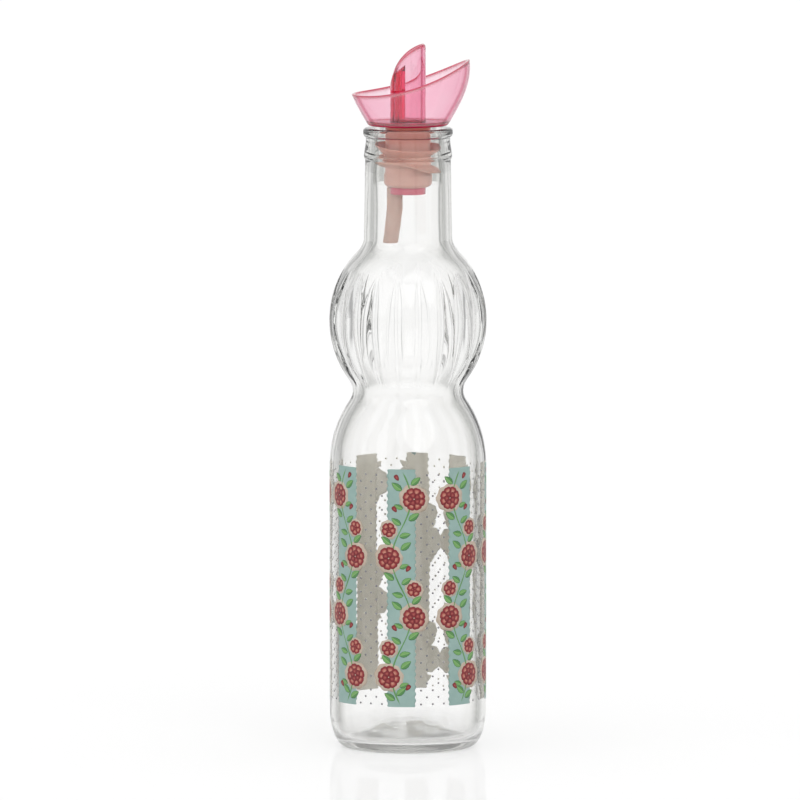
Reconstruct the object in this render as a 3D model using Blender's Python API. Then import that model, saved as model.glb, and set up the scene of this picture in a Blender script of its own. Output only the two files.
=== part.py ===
"""Oil bottle with a fluted bulb, closed by a push-in stopper that carries a pouring spout.

Everything is in metres, with +Z up. The origin is the centre of the foot ring, on the surface that the
bottle stands on, and the Z axis is the axis of the bottle, of the stopper and of the spout. The cup's
raised lip points along +X. Four separate pieces: the glass bottle, the soft stopper sleeve in its neck,
the pourer whose stem goes through the sleeve, and the breather tube on the stem's nipple.
"""

import math

import bmesh
import bpy
import numpy as np

# Body of the bottle
BODY_RADIUS = 0.0270
BODY_TOP_HEIGHT = 0.0982
WALL_THICKNESS = 0.0029

# Foot, heel and base
FOOT_RING_RADIUS = 0.0215
FOOT_RING_WIDTH = 0.0025
HEEL_HEIGHT = 0.0128
PUSH_UP_HEIGHT = 0.0050
BASE_THICKNESS = 0.0046
VALLEY_RADIUS = 0.0210
VALLEY_THICKNESS = 0.0036
INNER_CORNER_HEIGHT = 0.0058

# Shoulder and waist
SHOULDER_RADIUS = 0.0388
WAIST_RADIUS = 0.0172
WAIST_BLEND = 0.0040

# Bulb and its flutes
BULB_RADIUS = 0.0271
BULB_HALF_HEIGHT = 0.0310
FLUTE_COUNT = 20
FLUTE_DEPTH = 0.0010
FLUTE_HALF_LENGTH = 0.0201
FLUTE_DROP = 0.0020

# Neck and finish
NECK_FOOT_RADIUS = 0.0153
NECK_TOP_RADIUS = 0.0148
NECK_BLEND = 0.0026
MOUTH_HEIGHT = 0.2144
BEAD_RADIUS = 0.0155
BEAD_HEIGHT = 0.0031
BEAD_ROUNDING = 0.0012
GROOVE_RADIUS = 0.0146
GROOVE_HEIGHT = 0.0014
BAND_RADIUS = 0.0152
BAND_TOP_RADIUS = 0.0145
BAND_HEIGHT = 0.0066
BAND_ROUNDING = 0.0010
BORE_RADIUS = 0.0117
BORE_TAPER_HEIGHT = 0.0040
LIP_ROUNDING = 0.0008

# Clearance between pieces that touch
SEAT_GAP = 0.0003

# Stopper sleeve
SLEEVE_RADIUS = 0.0078
SLEEVE_LENGTH = 0.0209
COLLAR_RADIUS = 0.0083
COLLAR_HEIGHT = 0.0059
COLLAR_ROUNDING = 0.0018
FIN_ROOT_THICKNESS = 0.0011
FIN_RIM_THICKNESS = 0.0007
FIN_BEND_POWER = 1.5
UPPER_FIN_HEIGHT = 0.0107
UPPER_FIN_RISE = 0.0034
UPPER_FIN_SWING = 0.0014
UPPER_FIN_SIDE = math.radians(120)
LOWER_FIN_HEIGHT = 0.0078
LOWER_FIN_RISE = -0.0006
LOWER_FIN_SWING = 0.0020
LOWER_FIN_SIDE = math.radians(190)
LOWER_FIN_KINK = 2.2

# Pourer: stem, spout and drip cup
STEM_RADIUS = 0.00625
STEM_PROTRUSION = 0.0025
SPOUT_RADIUS = 0.0061
SPOUT_WALL = 0.0012
SPOUT_LOW_HEIGHT = 0.0143
SPOUT_TIP_HEIGHT = 0.0280
SPOUT_TIP_ROUNDING = 0.0009
SPOUT_CUT_SAGITTA = 0.0025
CUP_LIFT = 0.0009
CUP_FOOT_RADIUS = 0.0138
CUP_FLARE = 0.0076
CUP_FLARE_HEIGHT = 0.0200
CUP_WALL = 0.0012
CUP_FLOOR = 0.0012
CUP_FOOT_ROUNDING = 0.0005
RIM_HEIGHT = 0.0135
RIM_LEAN = 0.0060
RIM_HOLLOW = 0.0034

# Air channel, nipple and breather tube
CHANNEL_RADIUS = 0.00255
CHANNEL_OFFSET = 0.0035
CHANNEL_LOW_HEIGHT = 0.0166
CHANNEL_TOP_HEIGHT = 0.0208
VENT_RADIUS = 0.0008
VENT_TOP_OFFSET = 0.0033
NIPPLE_RADIUS = 0.0014
NIPPLE_LENGTH = 0.0070
NIPPLE_X = -0.0047
NIPPLE_Y = 0.0012
TUBE_RADIUS = 0.00275
TUBE_LENGTH = 0.0194
TUBE_LEAN = 0.0016
TUBE_END_ROUNDING = 0.0007

# Materials: colour, roughness, transmission and index of refraction
GLASS_LOOK = ((0.93, 0.95, 0.94), 0.02, 1.0, 1.5)
PINK_LOOK = ((0.90, 0.22, 0.42), 0.08, 0.8, 1.49)
BEIGE_LOOK = ((0.58, 0.37, 0.31), 0.45, 0.0, 1.5)

# Mesh: points round each ring, steps along each profile, and places of rings as shares
RING_POINTS = 2 * FLUTE_COUNT
FLUTED_RING_POINTS = 2 * RING_POINTS
SMALL_RING_POINTS = 20
OUTER_FLANK_STEPS = (5, 13, 4)
INNER_FLANK_STEPS = (4, 9, 3)
HEEL_STEPS = 6
CORNER_STEPS = 4
ROUNDING_STEPS = 3
LIP_STEPS = 2
RIM_STEPS = 14
SPOUT_CUT_STEPS = 8
UNDERSIDE_SHARES = (0, 0.3, 0.55, 0.8, 1)
FLOOR_SHARES = (0.92, 0.75, 0.5, 0.25, 0)
FIN_SHARES = (0, 0.5, 1)
CUP_HEIGHT_SHARES = (0.08, 0.22, 0.4, 0.62, 0.88, 1.2)
TUBE_BEND_SHARES = (0.8, 0.6, 0.4, 0.2)
OVERRUN = 0.0020
MERGE_DISTANCE = 0.000001
SMOOTH_ANGLE = math.radians(35)

# Heights worked out from the sizes above
CUP_HEIGHT = MOUTH_HEIGHT + CUP_LIFT
SLEEVE_TOP_HEIGHT = CUP_HEIGHT - SEAT_GAP
SLEEVE_FOOT_HEIGHT = SLEEVE_TOP_HEIGHT - SLEEVE_LENGTH
STEM_FOOT_HEIGHT = SLEEVE_FOOT_HEIGHT - STEM_PROTRUSION
TUBE_TOP_HEIGHT = SLEEVE_FOOT_HEIGHT - SEAT_GAP
FIN_RIM_RADIUS = BORE_RADIUS - SEAT_GAP
SLEEVE_BORE_RADIUS = STEM_RADIUS + SEAT_GAP
SPOUT_BORE_RADIUS = SPOUT_RADIUS - SPOUT_WALL


def clear_scene():
    """Removes every object that is in the file."""
    for thing in list(bpy.data.objects):
        bpy.data.objects.remove(thing, do_unlink=True)


def make_material(name, look):
    """A Principled BSDF with one colour for the whole piece."""
    colour, roughness, transmission, ior = look
    material = bpy.data.materials.new(name)
    material.use_nodes = True
    shader = material.node_tree.nodes["Principled BSDF"]
    shader.inputs["Base Color"].default_value = (*colour, 1.0)
    shader.inputs["Roughness"].default_value = roughness
    shader.inputs["Transmission Weight"].default_value = transmission
    shader.inputs["IOR"].default_value = ior
    return material


# Profiles: lists of (radius, height) pairs


def arc_points(centre, semi_radius, semi_height, start, end, steps):
    """Points along an ellipse's arc, both ends included, at even steps of its angle."""
    angles = np.linspace(start, end, steps + 1)
    return [
        (centre[0] + semi_radius * math.cos(angle), centre[1] + semi_height * math.sin(angle))
        for angle in angles
    ]


def blend_points(start, start_slope, end, end_slope, steps):
    """Points between two ends on a parabola that leaves along one slope and arrives along the other.

    Slopes are radius per height. The parabola's corner is where the two tangents cross.
    """
    gap = (end[0] - start[0]) - end_slope * (end[1] - start[1])
    rise = gap / (start_slope - end_slope)
    corner = (start[0] + start_slope * rise, start[1] + rise)
    points = []
    for share in np.linspace(0, 1, steps + 1)[1:-1]:
        weights = ((1 - share) ** 2, 2 * share * (1 - share), share**2)
        points.append(tuple(
            weights[0] * start[k] + weights[1] * corner[k] + weights[2] * end[k] for k in range(2)
        ))
    return points


def waist_height():
    """Height at which the shoulder's arc has come in to the waist's radius."""
    reach = WAIST_RADIUS - (BODY_RADIUS - SHOULDER_RADIUS)
    return BODY_TOP_HEIGHT + math.sqrt(SHOULDER_RADIUS**2 - reach**2)


def bulb_reach(radius):
    """Height above or below the bulb's middle at which its ellipse has a given radius."""
    return BULB_HALF_HEIGHT * math.sqrt(1 - (radius / BULB_RADIUS) ** 2)


def bulb_height():
    """Height of the bulb's middle: its ellipse meets the shoulder's arc at the waist."""
    return waist_height() + bulb_reach(WAIST_RADIUS)


def neck_top_height():
    """Height at which the neck ends under the finish."""
    return MOUTH_HEIGHT - BEAD_HEIGHT - GROOVE_HEIGHT - BAND_HEIGHT


def neck_foot_height():
    """Height at which the bulb's ellipse has come in to the neck's foot."""
    return bulb_height() + bulb_reach(NECK_FOOT_RADIUS)


def neck_slope():
    """Radius that the neck gains per height, which is less than zero."""
    return (NECK_TOP_RADIUS - NECK_FOOT_RADIUS) / (neck_top_height() - neck_foot_height())


def flank_profile(steps):
    """Outside of the glass from the heel's top up to the finish, without its flutes."""
    shoulder_steps, bulb_steps, blend_steps = steps
    shoulder_centre = (BODY_RADIUS - SHOULDER_RADIUS, BODY_TOP_HEIGHT)
    shoulder_end = math.asin((waist_height() - WAIST_BLEND - BODY_TOP_HEIGHT) / SHOULDER_RADIUS)
    shoulder = arc_points(shoulder_centre, SHOULDER_RADIUS, SHOULDER_RADIUS, 0, shoulder_end,
                          shoulder_steps)

    middle = bulb_height()
    bulb_start = math.asin((waist_height() + WAIST_BLEND - middle) / BULB_HALF_HEIGHT)
    bulb_end = math.asin((neck_foot_height() - NECK_BLEND - middle) / BULB_HALF_HEIGHT)
    bulb = arc_points((0, middle), BULB_RADIUS, BULB_HALF_HEIGHT, bulb_start, bulb_end, bulb_steps)
    bulb_squash = BULB_RADIUS / BULB_HALF_HEIGHT
    waist = blend_points(shoulder[-1], -math.tan(shoulder_end), bulb[0],
                         -bulb_squash * math.tan(bulb_start), blend_steps)

    neck_foot = (NECK_FOOT_RADIUS + neck_slope() * NECK_BLEND, neck_foot_height() + NECK_BLEND)
    root = blend_points(bulb[-1], -bulb_squash * math.tan(bulb_end), neck_foot, neck_slope(),
                        blend_steps)
    neck_top = (NECK_TOP_RADIUS, neck_top_height())
    return [(BODY_RADIUS, HEEL_HEIGHT), *shoulder, *waist, *bulb, *root, neck_foot, neck_top]


def inner_flank_profile():
    """Inside of the wall, the flank moved inwards by the wall's thickness, from the neck down."""
    flank = np.array(flank_profile(INNER_FLANK_STEPS)[1:-1])
    run = np.gradient(flank, axis=0)
    outward = np.column_stack((run[:, 1], -run[:, 0]))
    outward /= np.linalg.norm(outward, axis=1)[:, None]
    outward[0] = (1, 0)
    return [tuple(point) for point in (flank - WALL_THICKNESS * outward)[::-1]]


def underside_profile():
    """Under the base, from the axis out over the push-up's dome to the foot ring."""
    ring_inside = FOOT_RING_RADIUS - FOOT_RING_WIDTH
    shares = np.array(UNDERSIDE_SHARES)
    heights = PUSH_UP_HEIGHT * (1 - shares**2)
    return [(ring_inside * share, height) for share, height in zip(shares, heights)]


def floor_profile():
    """Inside floor, from the wall round the corner, over the valley and up the dome to the axis."""
    inside = BODY_RADIUS - WALL_THICKNESS
    centre = (VALLEY_RADIUS, VALLEY_THICKNESS + INNER_CORNER_HEIGHT)
    corner = arc_points(centre, inside - VALLEY_RADIUS, INNER_CORNER_HEIGHT, 0, -math.pi / 2,
                        CORNER_STEPS)
    dome_height = PUSH_UP_HEIGHT + BASE_THICKNESS - VALLEY_THICKNESS
    shares = np.array(FLOOR_SHARES)
    heights = VALLEY_THICKNESS + dome_height * (1 - shares**2) ** 2 * (1 + 2 * shares**2)
    return corner + [(VALLEY_RADIUS * share, height) for share, height in zip(shares, heights)]


def finish_profile():
    """Outside of the finish from the neck up: tapered band, groove and round bead, then the lip."""
    band_foot = neck_top_height()
    band_top = band_foot + BAND_HEIGHT
    bead_foot = band_top + GROOVE_HEIGHT
    bead_inside = BEAD_RADIUS - BEAD_ROUNDING
    band = [
        (BAND_RADIUS, band_foot + BAND_ROUNDING),
        (BAND_RADIUS, band_foot + 2 * BAND_ROUNDING),
        (BAND_TOP_RADIUS, band_top),
        (GROOVE_RADIUS, bead_foot),
    ]
    lower = arc_points((bead_inside, bead_foot + BEAD_ROUNDING), BEAD_ROUNDING, BEAD_ROUNDING,
                       -math.pi / 4, 0, LIP_STEPS)
    upper = arc_points((bead_inside, MOUTH_HEIGHT - BEAD_ROUNDING), BEAD_ROUNDING, BEAD_ROUNDING,
                       0, math.pi / 2, ROUNDING_STEPS)
    return band + lower + upper


def bore_profile():
    """Inside of the mouth: the lip's rounding, the bore and the taper to the neck's inside."""
    lip = arc_points((BORE_RADIUS + LIP_ROUNDING, MOUTH_HEIGHT - LIP_ROUNDING), LIP_ROUNDING,
                     LIP_ROUNDING, math.pi / 2, math.pi, LIP_STEPS)
    taper_top = neck_top_height()
    taper_foot_radius = NECK_TOP_RADIUS - WALL_THICKNESS - neck_slope() * BORE_TAPER_HEIGHT
    return lip + [(BORE_RADIUS, taper_top), (taper_foot_radius, taper_top - BORE_TAPER_HEIGHT)]


# Meshes: stacks of rings joined by faces


def flute_depth(height):
    """Depth of the flutes' grooves at a height: full along the middle, running out at both ends."""
    share = (height - bulb_height() + FLUTE_DROP) / FLUTE_HALF_LENGTH
    return FLUTE_DEPTH * max(0, 1 - share**4)


def level_ring(radius, height, count, centre=(0, 0), groove=0):
    """One level ring of points. A groove draws every flute's edge in, on a parabola per flute."""
    if radius == 0:
        return [(centre[0], centre[1], height)]
    points = []
    for index in range(count):
        angle = math.tau * (index / count + 0.5 / FLUTE_COUNT)
        share = 2 * (index * FLUTE_COUNT / count % 1) - 1
        drawn = radius - groove * share**2
        points.append((centre[0] + drawn * math.cos(angle), centre[1] + drawn * math.sin(angle), height))
    return points


def bridge_rings(mesh, lower, upper):
    """Faces between two rings, one of which may be a single point or hold twice the points."""
    if len(lower) > len(upper):
        lower, upper = upper, lower
    count = len(upper)
    if len(lower) == 1:
        for index in range(count):
            mesh.faces.new((lower[0], upper[index], upper[(index + 1) % count]))
        return
    step = count // len(lower)
    for index in range(len(lower)):
        here, there = lower[index], lower[(index + 1) % len(lower)]
        first, last = upper[index * step], upper[(index + 1) * step % count]
        if step == 1:
            mesh.faces.new((here, there, last, first))
        else:
            middle = upper[index * step + 1]
            mesh.faces.new((here, middle, first))
            mesh.faces.new((here, there, middle))
            mesh.faces.new((there, last, middle))


def mesh_object(name, mesh, material=None):
    """Makes a smooth-shaded object of a closed mesh, with all its faces pointing outwards."""
    bmesh.ops.remove_doubles(mesh, verts=mesh.verts, dist=MERGE_DISTANCE)
    bmesh.ops.recalc_face_normals(mesh, faces=mesh.faces)
    data = bpy.data.meshes.new(name)
    mesh.to_mesh(data)
    mesh.free()
    data.shade_smooth()
    data.set_sharp_from_angle(angle=SMOOTH_ANGLE)
    if material:
        data.materials.append(material)
    thing = bpy.data.objects.new(name, data)
    bpy.context.scene.collection.objects.link(thing)
    return thing


def stack_object(name, rings, material=None, through=False):
    """Skins a stack of rings. A stack with a way through it joins its last ring to its first."""
    mesh = bmesh.new()
    made = [[mesh.verts.new(point) for point in ring] for ring in rings]
    for lower, upper in zip(made, made[1:]):
        bridge_rings(mesh, lower, upper)
    if through:
        bridge_rings(mesh, made[-1], made[0])
    else:
        for end in (made[0], made[-1]):
            if len(end) > 2:
                mesh.faces.new(end)
    return mesh_object(name, mesh, material)


def round_object(name, profile, count, centre=(0, 0), material=None):
    """A solid of revolution about a vertical line, from a profile that runs along one side."""
    rings = [level_ring(radius, height, count, centre) for radius, height in profile]
    return stack_object(name, rings, material)


def slab_object(name, outline, half_width):
    """An outline in X and Z, carried along Y to both sides."""
    mesh = bmesh.new()
    sides = [[mesh.verts.new((x, y, z)) for x, z in outline] for y in (-half_width, half_width)]
    bridge_rings(mesh, sides[0], sides[1])
    for side in sides:
        mesh.faces.new(side)
    return mesh_object(name, mesh)


def hide_guide(guide):
    """Marks an object as a tool that only shapes another."""
    guide.hide_render = True
    guide.display_type = "WIRE"


def combine(target, tool, operation):
    """Adds a Boolean to the target, with a hidden tool."""
    hide_guide(tool)
    modifier = target.modifiers.new(tool.name, "BOOLEAN")
    modifier.operation = operation
    modifier.solver = "EXACT"
    modifier.object = tool


# The glass


def make_bottle(material):
    """One closed skin: under the base, up the outside, over the lip and down the inside."""
    heel = arc_points((FOOT_RING_RADIUS, HEEL_HEIGHT), BODY_RADIUS - FOOT_RING_RADIUS, HEEL_HEIGHT,
                      -math.pi / 2, 0, HEEL_STEPS)[:-1]
    outside = underside_profile() + heel + flank_profile(OUTER_FLANK_STEPS) + finish_profile()
    inside = bore_profile() + inner_flank_profile() + floor_profile()
    rings = []
    for radius, height in outside:
        groove = flute_depth(height)
        count = FLUTED_RING_POINTS if groove > 0 else RING_POINTS
        rings.append(level_ring(radius, height, count, groove=groove))
    rings += [level_ring(radius, height, RING_POINTS) for radius, height in inside]
    return stack_object("bottle_glass", rings, material)


# The stopper sleeve


def upper_fin_rise(angle):
    """Height of the upper fin's rim over its root: it stands up most towards one side."""
    return UPPER_FIN_RISE + UPPER_FIN_SWING * math.cos(angle - UPPER_FIN_SIDE)


def lower_fin_rise(angle):
    """Height of the lower fin's rim over its root: bent up on one side, folded down on the other."""
    turn = math.tanh(LOWER_FIN_KINK * math.cos(angle - LOWER_FIN_SIDE)) / math.tanh(LOWER_FIN_KINK)
    return LOWER_FIN_RISE + LOWER_FIN_SWING * turn


def fin_rings(root_height, rise):
    """Rings over a fin's top face to its rim and back along its lower face."""
    rings = []
    for side, shares in ((1, FIN_SHARES), (-1, FIN_SHARES[::-1])):
        for share in shares:
            radius = SLEEVE_RADIUS + (FIN_RIM_RADIUS - SLEEVE_RADIUS) * share
            half = 0.5 * (FIN_ROOT_THICKNESS + (FIN_RIM_THICKNESS - FIN_ROOT_THICKNESS) * share)
            ring = []
            for x, y, z in level_ring(radius, root_height, RING_POINTS):
                lift = rise(math.atan2(y, x)) * share**FIN_BEND_POWER
                ring.append((x, y, z + lift + side * half))
            rings.append(ring)
    return rings


def make_sleeve(material):
    """Sleeve with its two fins, its rounded collar and the bore for the stem."""
    collar_top = SLEEVE_FOOT_HEIGHT + COLLAR_HEIGHT
    rounding_centre = (COLLAR_RADIUS - COLLAR_ROUNDING, SLEEVE_FOOT_HEIGHT + COLLAR_ROUNDING)
    foot = arc_points(rounding_centre, COLLAR_ROUNDING, COLLAR_ROUNDING, 0, -math.pi / 2,
                      ROUNDING_STEPS)[:-1]
    collar = [(SLEEVE_RADIUS, collar_top), (COLLAR_RADIUS, collar_top - COLLAR_ROUNDING), *foot]
    bore = [(SLEEVE_BORE_RADIUS, SLEEVE_FOOT_HEIGHT), (SLEEVE_BORE_RADIUS, SLEEVE_TOP_HEIGHT)]
    rings = [level_ring(SLEEVE_RADIUS, SLEEVE_TOP_HEIGHT, RING_POINTS)]
    rings += fin_rings(SLEEVE_FOOT_HEIGHT + UPPER_FIN_HEIGHT, upper_fin_rise)
    rings += fin_rings(SLEEVE_FOOT_HEIGHT + LOWER_FIN_HEIGHT, lower_fin_rise)
    rings += [level_ring(radius, height, RING_POINTS) for radius, height in collar + bore]
    return stack_object("stopper_sleeve", rings, material, through=True)


# The pourer


def cup_radius(height):
    """Outside of the cup at a height over its underside: a sine wave, widest at the flare height."""
    return CUP_FOOT_RADIUS + CUP_FLARE * math.sin(math.pi / 2 * height / CUP_FLARE_HEIGHT)


def make_cup(material):
    """The bowl, turned whole, before its rim is cut."""
    heights = [CUP_FLARE_HEIGHT * share for share in CUP_HEIGHT_SHARES]
    outside = [(0, 0), (CUP_FOOT_RADIUS - CUP_FOOT_ROUNDING, 0)]
    outside += [(cup_radius(height), height) for height in heights]
    inside = [(cup_radius(height) - CUP_WALL, height) for height in heights[::-1]]
    inside += [(CUP_FOOT_RADIUS - CUP_WALL, CUP_FLOOR), (0, CUP_FLOOR)]
    profile = [(radius, CUP_HEIGHT + height) for radius, height in outside + inside]
    return round_object("pourer", profile, RING_POINTS, material=material)


def rim_cutter():
    """Everything over the rim, a hollow curve that climbs from the low side to the raised lip."""
    cup_reach = CUP_FOOT_RADIUS + CUP_FLARE
    cutter_reach = cup_reach + OVERRUN
    outline = []
    for x in np.linspace(-cutter_reach, cutter_reach, RIM_STEPS + 1):
        share = x / cup_reach
        rim = RIM_HEIGHT + RIM_LEAN * share + RIM_HOLLOW * share**2
        outline.append((x, CUP_HEIGHT + rim))
    top = CUP_HEIGHT + RIM_HEIGHT + RIM_LEAN + CUP_FLARE_HEIGHT
    outline += [(cutter_reach, top), (-cutter_reach, top)]
    return slab_object("rim_cutter", outline, cutter_reach)


def spout_cutter():
    """Everything over the spout's slanted mouth, a bowed cut with a rounded tip."""
    low = (-SPOUT_RADIUS, SPOUT_LOW_HEIGHT)
    tip = (SPOUT_RADIUS - SPOUT_TIP_ROUNDING, SPOUT_TIP_HEIGHT)
    run, rise = tip[0] - low[0], tip[1] - low[1]
    length = math.hypot(run, rise)
    outline = [(low[0] - OVERRUN, low[1] - OVERRUN)]
    for share in np.linspace(0, 1, SPOUT_CUT_STEPS + 1):
        bow = 4 * SPOUT_CUT_SAGITTA * share * (1 - share)
        outline.append((low[0] + run * share - bow * rise / length,
                        low[1] + rise * share + bow * run / length))
    side = SPOUT_RADIUS + OVERRUN
    outline += [(SPOUT_RADIUS, SPOUT_TIP_HEIGHT - SPOUT_TIP_ROUNDING),
                (side, SPOUT_TIP_HEIGHT - SPOUT_TIP_ROUNDING),
                (side, SPOUT_TIP_HEIGHT + 2 * OVERRUN),
                (outline[0][0], SPOUT_TIP_HEIGHT + 2 * OVERRUN)]
    return slab_object("spout_cutter", [(x, CUP_HEIGHT + z) for x, z in outline], side)


def make_spout_guide():
    """Spout and stem as one full rod, cut to the spout's mouth."""
    profile = [
        (0, STEM_FOOT_HEIGHT),
        (STEM_RADIUS, STEM_FOOT_HEIGHT),
        (STEM_RADIUS, CUP_HEIGHT + CUP_FLOOR / 2),
        (SPOUT_RADIUS, CUP_HEIGHT + CUP_FLOOR / 2),
        (SPOUT_RADIUS, CUP_HEIGHT + SPOUT_TIP_HEIGHT + OVERRUN),
        (0, CUP_HEIGHT + SPOUT_TIP_HEIGHT + OVERRUN),
    ]
    guide = round_object("spout_guide", profile, RING_POINTS)
    combine(guide, spout_cutter(), "DIFFERENCE")
    return guide


def make_channel_guide():
    """The air channel's full rod inside the spout, with its slanted top."""
    foot = STEM_FOOT_HEIGHT - 2 * OVERRUN
    centre = (-CHANNEL_OFFSET, 0)
    lower = level_ring(CHANNEL_RADIUS, foot, SMALL_RING_POINTS, centre)
    upper = []
    for x, y, _ in lower:
        share = (x + CHANNEL_OFFSET + CHANNEL_RADIUS) / (2 * CHANNEL_RADIUS)
        rise = CHANNEL_LOW_HEIGHT + (CHANNEL_TOP_HEIGHT - CHANNEL_LOW_HEIGHT) * share
        upper.append((x, y, CUP_HEIGHT + rise))
    guide = stack_object("channel_guide", [lower, upper])
    hide_guide(guide)
    return guide


def spout_bore_cutter():
    """The way for the oil: the spout's bore without the air channel."""
    foot = STEM_FOOT_HEIGHT - OVERRUN
    top = CUP_HEIGHT + SPOUT_TIP_HEIGHT + OVERRUN
    profile = [(0, foot), (SPOUT_BORE_RADIUS, foot), (SPOUT_BORE_RADIUS, top), (0, top)]
    cutter = round_object("spout_bore_cutter", profile, RING_POINTS)
    combine(cutter, make_channel_guide(), "DIFFERENCE")
    return cutter


def tube_seat_cutter():
    """Notch in the stem's end that takes the top of the breather tube."""
    radius = TUBE_RADIUS + SEAT_GAP
    foot = STEM_FOOT_HEIGHT - OVERRUN
    profile = [(0, foot), (radius, foot), (radius, SLEEVE_FOOT_HEIGHT), (0, SLEEVE_FOOT_HEIGHT)]
    return round_object("tube_seat_cutter", profile, SMALL_RING_POINTS, (NIPPLE_X, NIPPLE_Y))


def make_nipple_guide():
    """The nipple, rooted in the stem over the notch."""
    foot = SLEEVE_FOOT_HEIGHT - NIPPLE_LENGTH
    root = SLEEVE_FOOT_HEIGHT + OVERRUN
    profile = [(0, foot), (NIPPLE_RADIUS, foot), (NIPPLE_RADIUS, root), (0, root)]
    return round_object("nipple_guide", profile, SMALL_RING_POINTS, (NIPPLE_X, NIPPLE_Y))


def vent_cutter():
    """The way for the air: down the channel, over to the nipple, and out of its end."""
    top = CUP_HEIGHT + CHANNEL_TOP_HEIGHT + OVERRUN
    foot = SLEEVE_FOOT_HEIGHT - NIPPLE_LENGTH - OVERRUN
    nipple = (NIPPLE_X, NIPPLE_Y)
    knee = SLEEVE_FOOT_HEIGHT + OVERRUN
    rings = [
        level_ring(VENT_RADIUS, foot, SMALL_RING_POINTS, nipple),
        level_ring(VENT_RADIUS, knee, SMALL_RING_POINTS, nipple),
        level_ring(VENT_RADIUS, top, SMALL_RING_POINTS, (-VENT_TOP_OFFSET, 0)),
    ]
    return stack_object("vent_cutter", rings)


def make_pourer(material):
    """Cup, spout, stem, air channel and nipple, joined into one moulding."""
    pourer = make_cup(material)
    combine(pourer, rim_cutter(), "DIFFERENCE")
    combine(pourer, make_spout_guide(), "UNION")
    combine(pourer, spout_bore_cutter(), "DIFFERENCE")
    combine(pourer, tube_seat_cutter(), "DIFFERENCE")
    combine(pourer, make_nipple_guide(), "UNION")
    combine(pourer, vent_cutter(), "DIFFERENCE")
    return pourer


# The breather tube


def make_breather_tube(material):
    """Soft tube on the nipple, straight where it is pushed on and leaning out below it."""
    foot = TUBE_TOP_HEIGHT - TUBE_LENGTH
    bend = SLEEVE_FOOT_HEIGHT - NIPPLE_LENGTH
    bore = NIPPLE_RADIUS + SEAT_GAP

    def centre(height):
        share = max(0, (bend - height) / (bend - foot))
        return (NIPPLE_X - TUBE_LEAN * share * (2 - share), NIPPLE_Y)

    def ring(radius, height):
        return level_ring(radius, height, SMALL_RING_POINTS, centre(height))

    heights = [TUBE_TOP_HEIGHT, bend]
    heights += [foot + (bend - foot) * share for share in TUBE_BEND_SHARES]
    rings = [ring(TUBE_RADIUS, height) for height in heights]
    rings.append(ring(TUBE_RADIUS, foot + TUBE_END_ROUNDING))
    rings.append(ring(TUBE_RADIUS - TUBE_END_ROUNDING, foot))
    rings.append(ring(bore, foot))
    rings += [ring(bore, height) for height in heights[::-1]]
    return stack_object("breather_tube", rings, material, through=True)


def build_bottle():
    """Makes every piece, and hangs the moving ones on an empty on the spout's axis."""
    clear_scene()
    pink = make_material("clear_pink_plastic", PINK_LOOK)
    beige = make_material("soft_beige_plastic", BEIGE_LOOK)
    make_bottle(make_material("clear_glass", GLASS_LOOK))
    stopper_axis = bpy.data.objects.new("stopper_axis", None)
    spout_axis = bpy.data.objects.new("spout_axis", None)
    for axis in (stopper_axis, spout_axis):
        bpy.context.scene.collection.objects.link(axis)
    spout_axis.parent = stopper_axis
    make_sleeve(beige).parent = stopper_axis
    make_pourer(pink).parent = spout_axis
    make_breather_tube(beige).parent = spout_axis


build_bottle()
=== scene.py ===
"""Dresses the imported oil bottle: clear fluted glass, the print fired on it, the pink pourer and the stopper.

Everything is in metres, with +Z up and the foot ring's centre at the origin. The front of the print faces
-Y, and the raised lip of the drip cup points along +X.
"""
import math

import bpy
import numpy as np
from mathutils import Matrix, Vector


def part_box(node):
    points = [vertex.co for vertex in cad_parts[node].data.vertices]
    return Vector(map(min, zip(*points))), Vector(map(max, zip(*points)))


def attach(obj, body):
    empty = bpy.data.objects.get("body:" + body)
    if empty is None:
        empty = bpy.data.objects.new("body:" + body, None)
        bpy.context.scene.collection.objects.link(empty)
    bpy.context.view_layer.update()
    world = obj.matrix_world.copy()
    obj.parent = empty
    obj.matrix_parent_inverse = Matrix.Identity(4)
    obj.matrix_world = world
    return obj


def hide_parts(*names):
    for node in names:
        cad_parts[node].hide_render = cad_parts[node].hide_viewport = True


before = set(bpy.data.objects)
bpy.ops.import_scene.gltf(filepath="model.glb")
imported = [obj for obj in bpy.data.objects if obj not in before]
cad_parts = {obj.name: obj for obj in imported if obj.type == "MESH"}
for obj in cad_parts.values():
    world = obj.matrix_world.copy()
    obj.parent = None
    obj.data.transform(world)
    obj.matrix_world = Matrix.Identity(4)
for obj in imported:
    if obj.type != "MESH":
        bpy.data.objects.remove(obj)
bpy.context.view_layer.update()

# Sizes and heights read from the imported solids
BULB_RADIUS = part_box("bottle_glass")[1].x
MOUTH_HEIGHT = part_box("bottle_glass")[1].z
SLEEVE_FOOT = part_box("stopper_sleeve")[0].z
SLEEVE_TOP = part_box("stopper_sleeve")[1].z
TUBE_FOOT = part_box("breather_tube")[0].z
TUBE_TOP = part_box("breather_tube")[1].z
NIPPLE_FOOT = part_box("pourer")[0].z

# Glass: body, foot and base
BODY_RADIUS = 0.0270
BODY_TOP = 0.0982
WALL_THICKNESS = 0.0029
FOOT_RING_RADIUS = 0.0215
FOOT_RING_WIDTH = 0.0025
FOOT_RING_ROUNDING = 0.0005
DOME_EDGE_RUN = (0.88, -0.47)
HEEL_HEIGHT = 0.0128
PUSH_UP_HEIGHT = 0.0050
BASE_THICKNESS = 0.0046
VALLEY_RADIUS = 0.0210
VALLEY_THICKNESS = 0.0036
INNER_CORNER_HEIGHT = 0.0058

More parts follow.
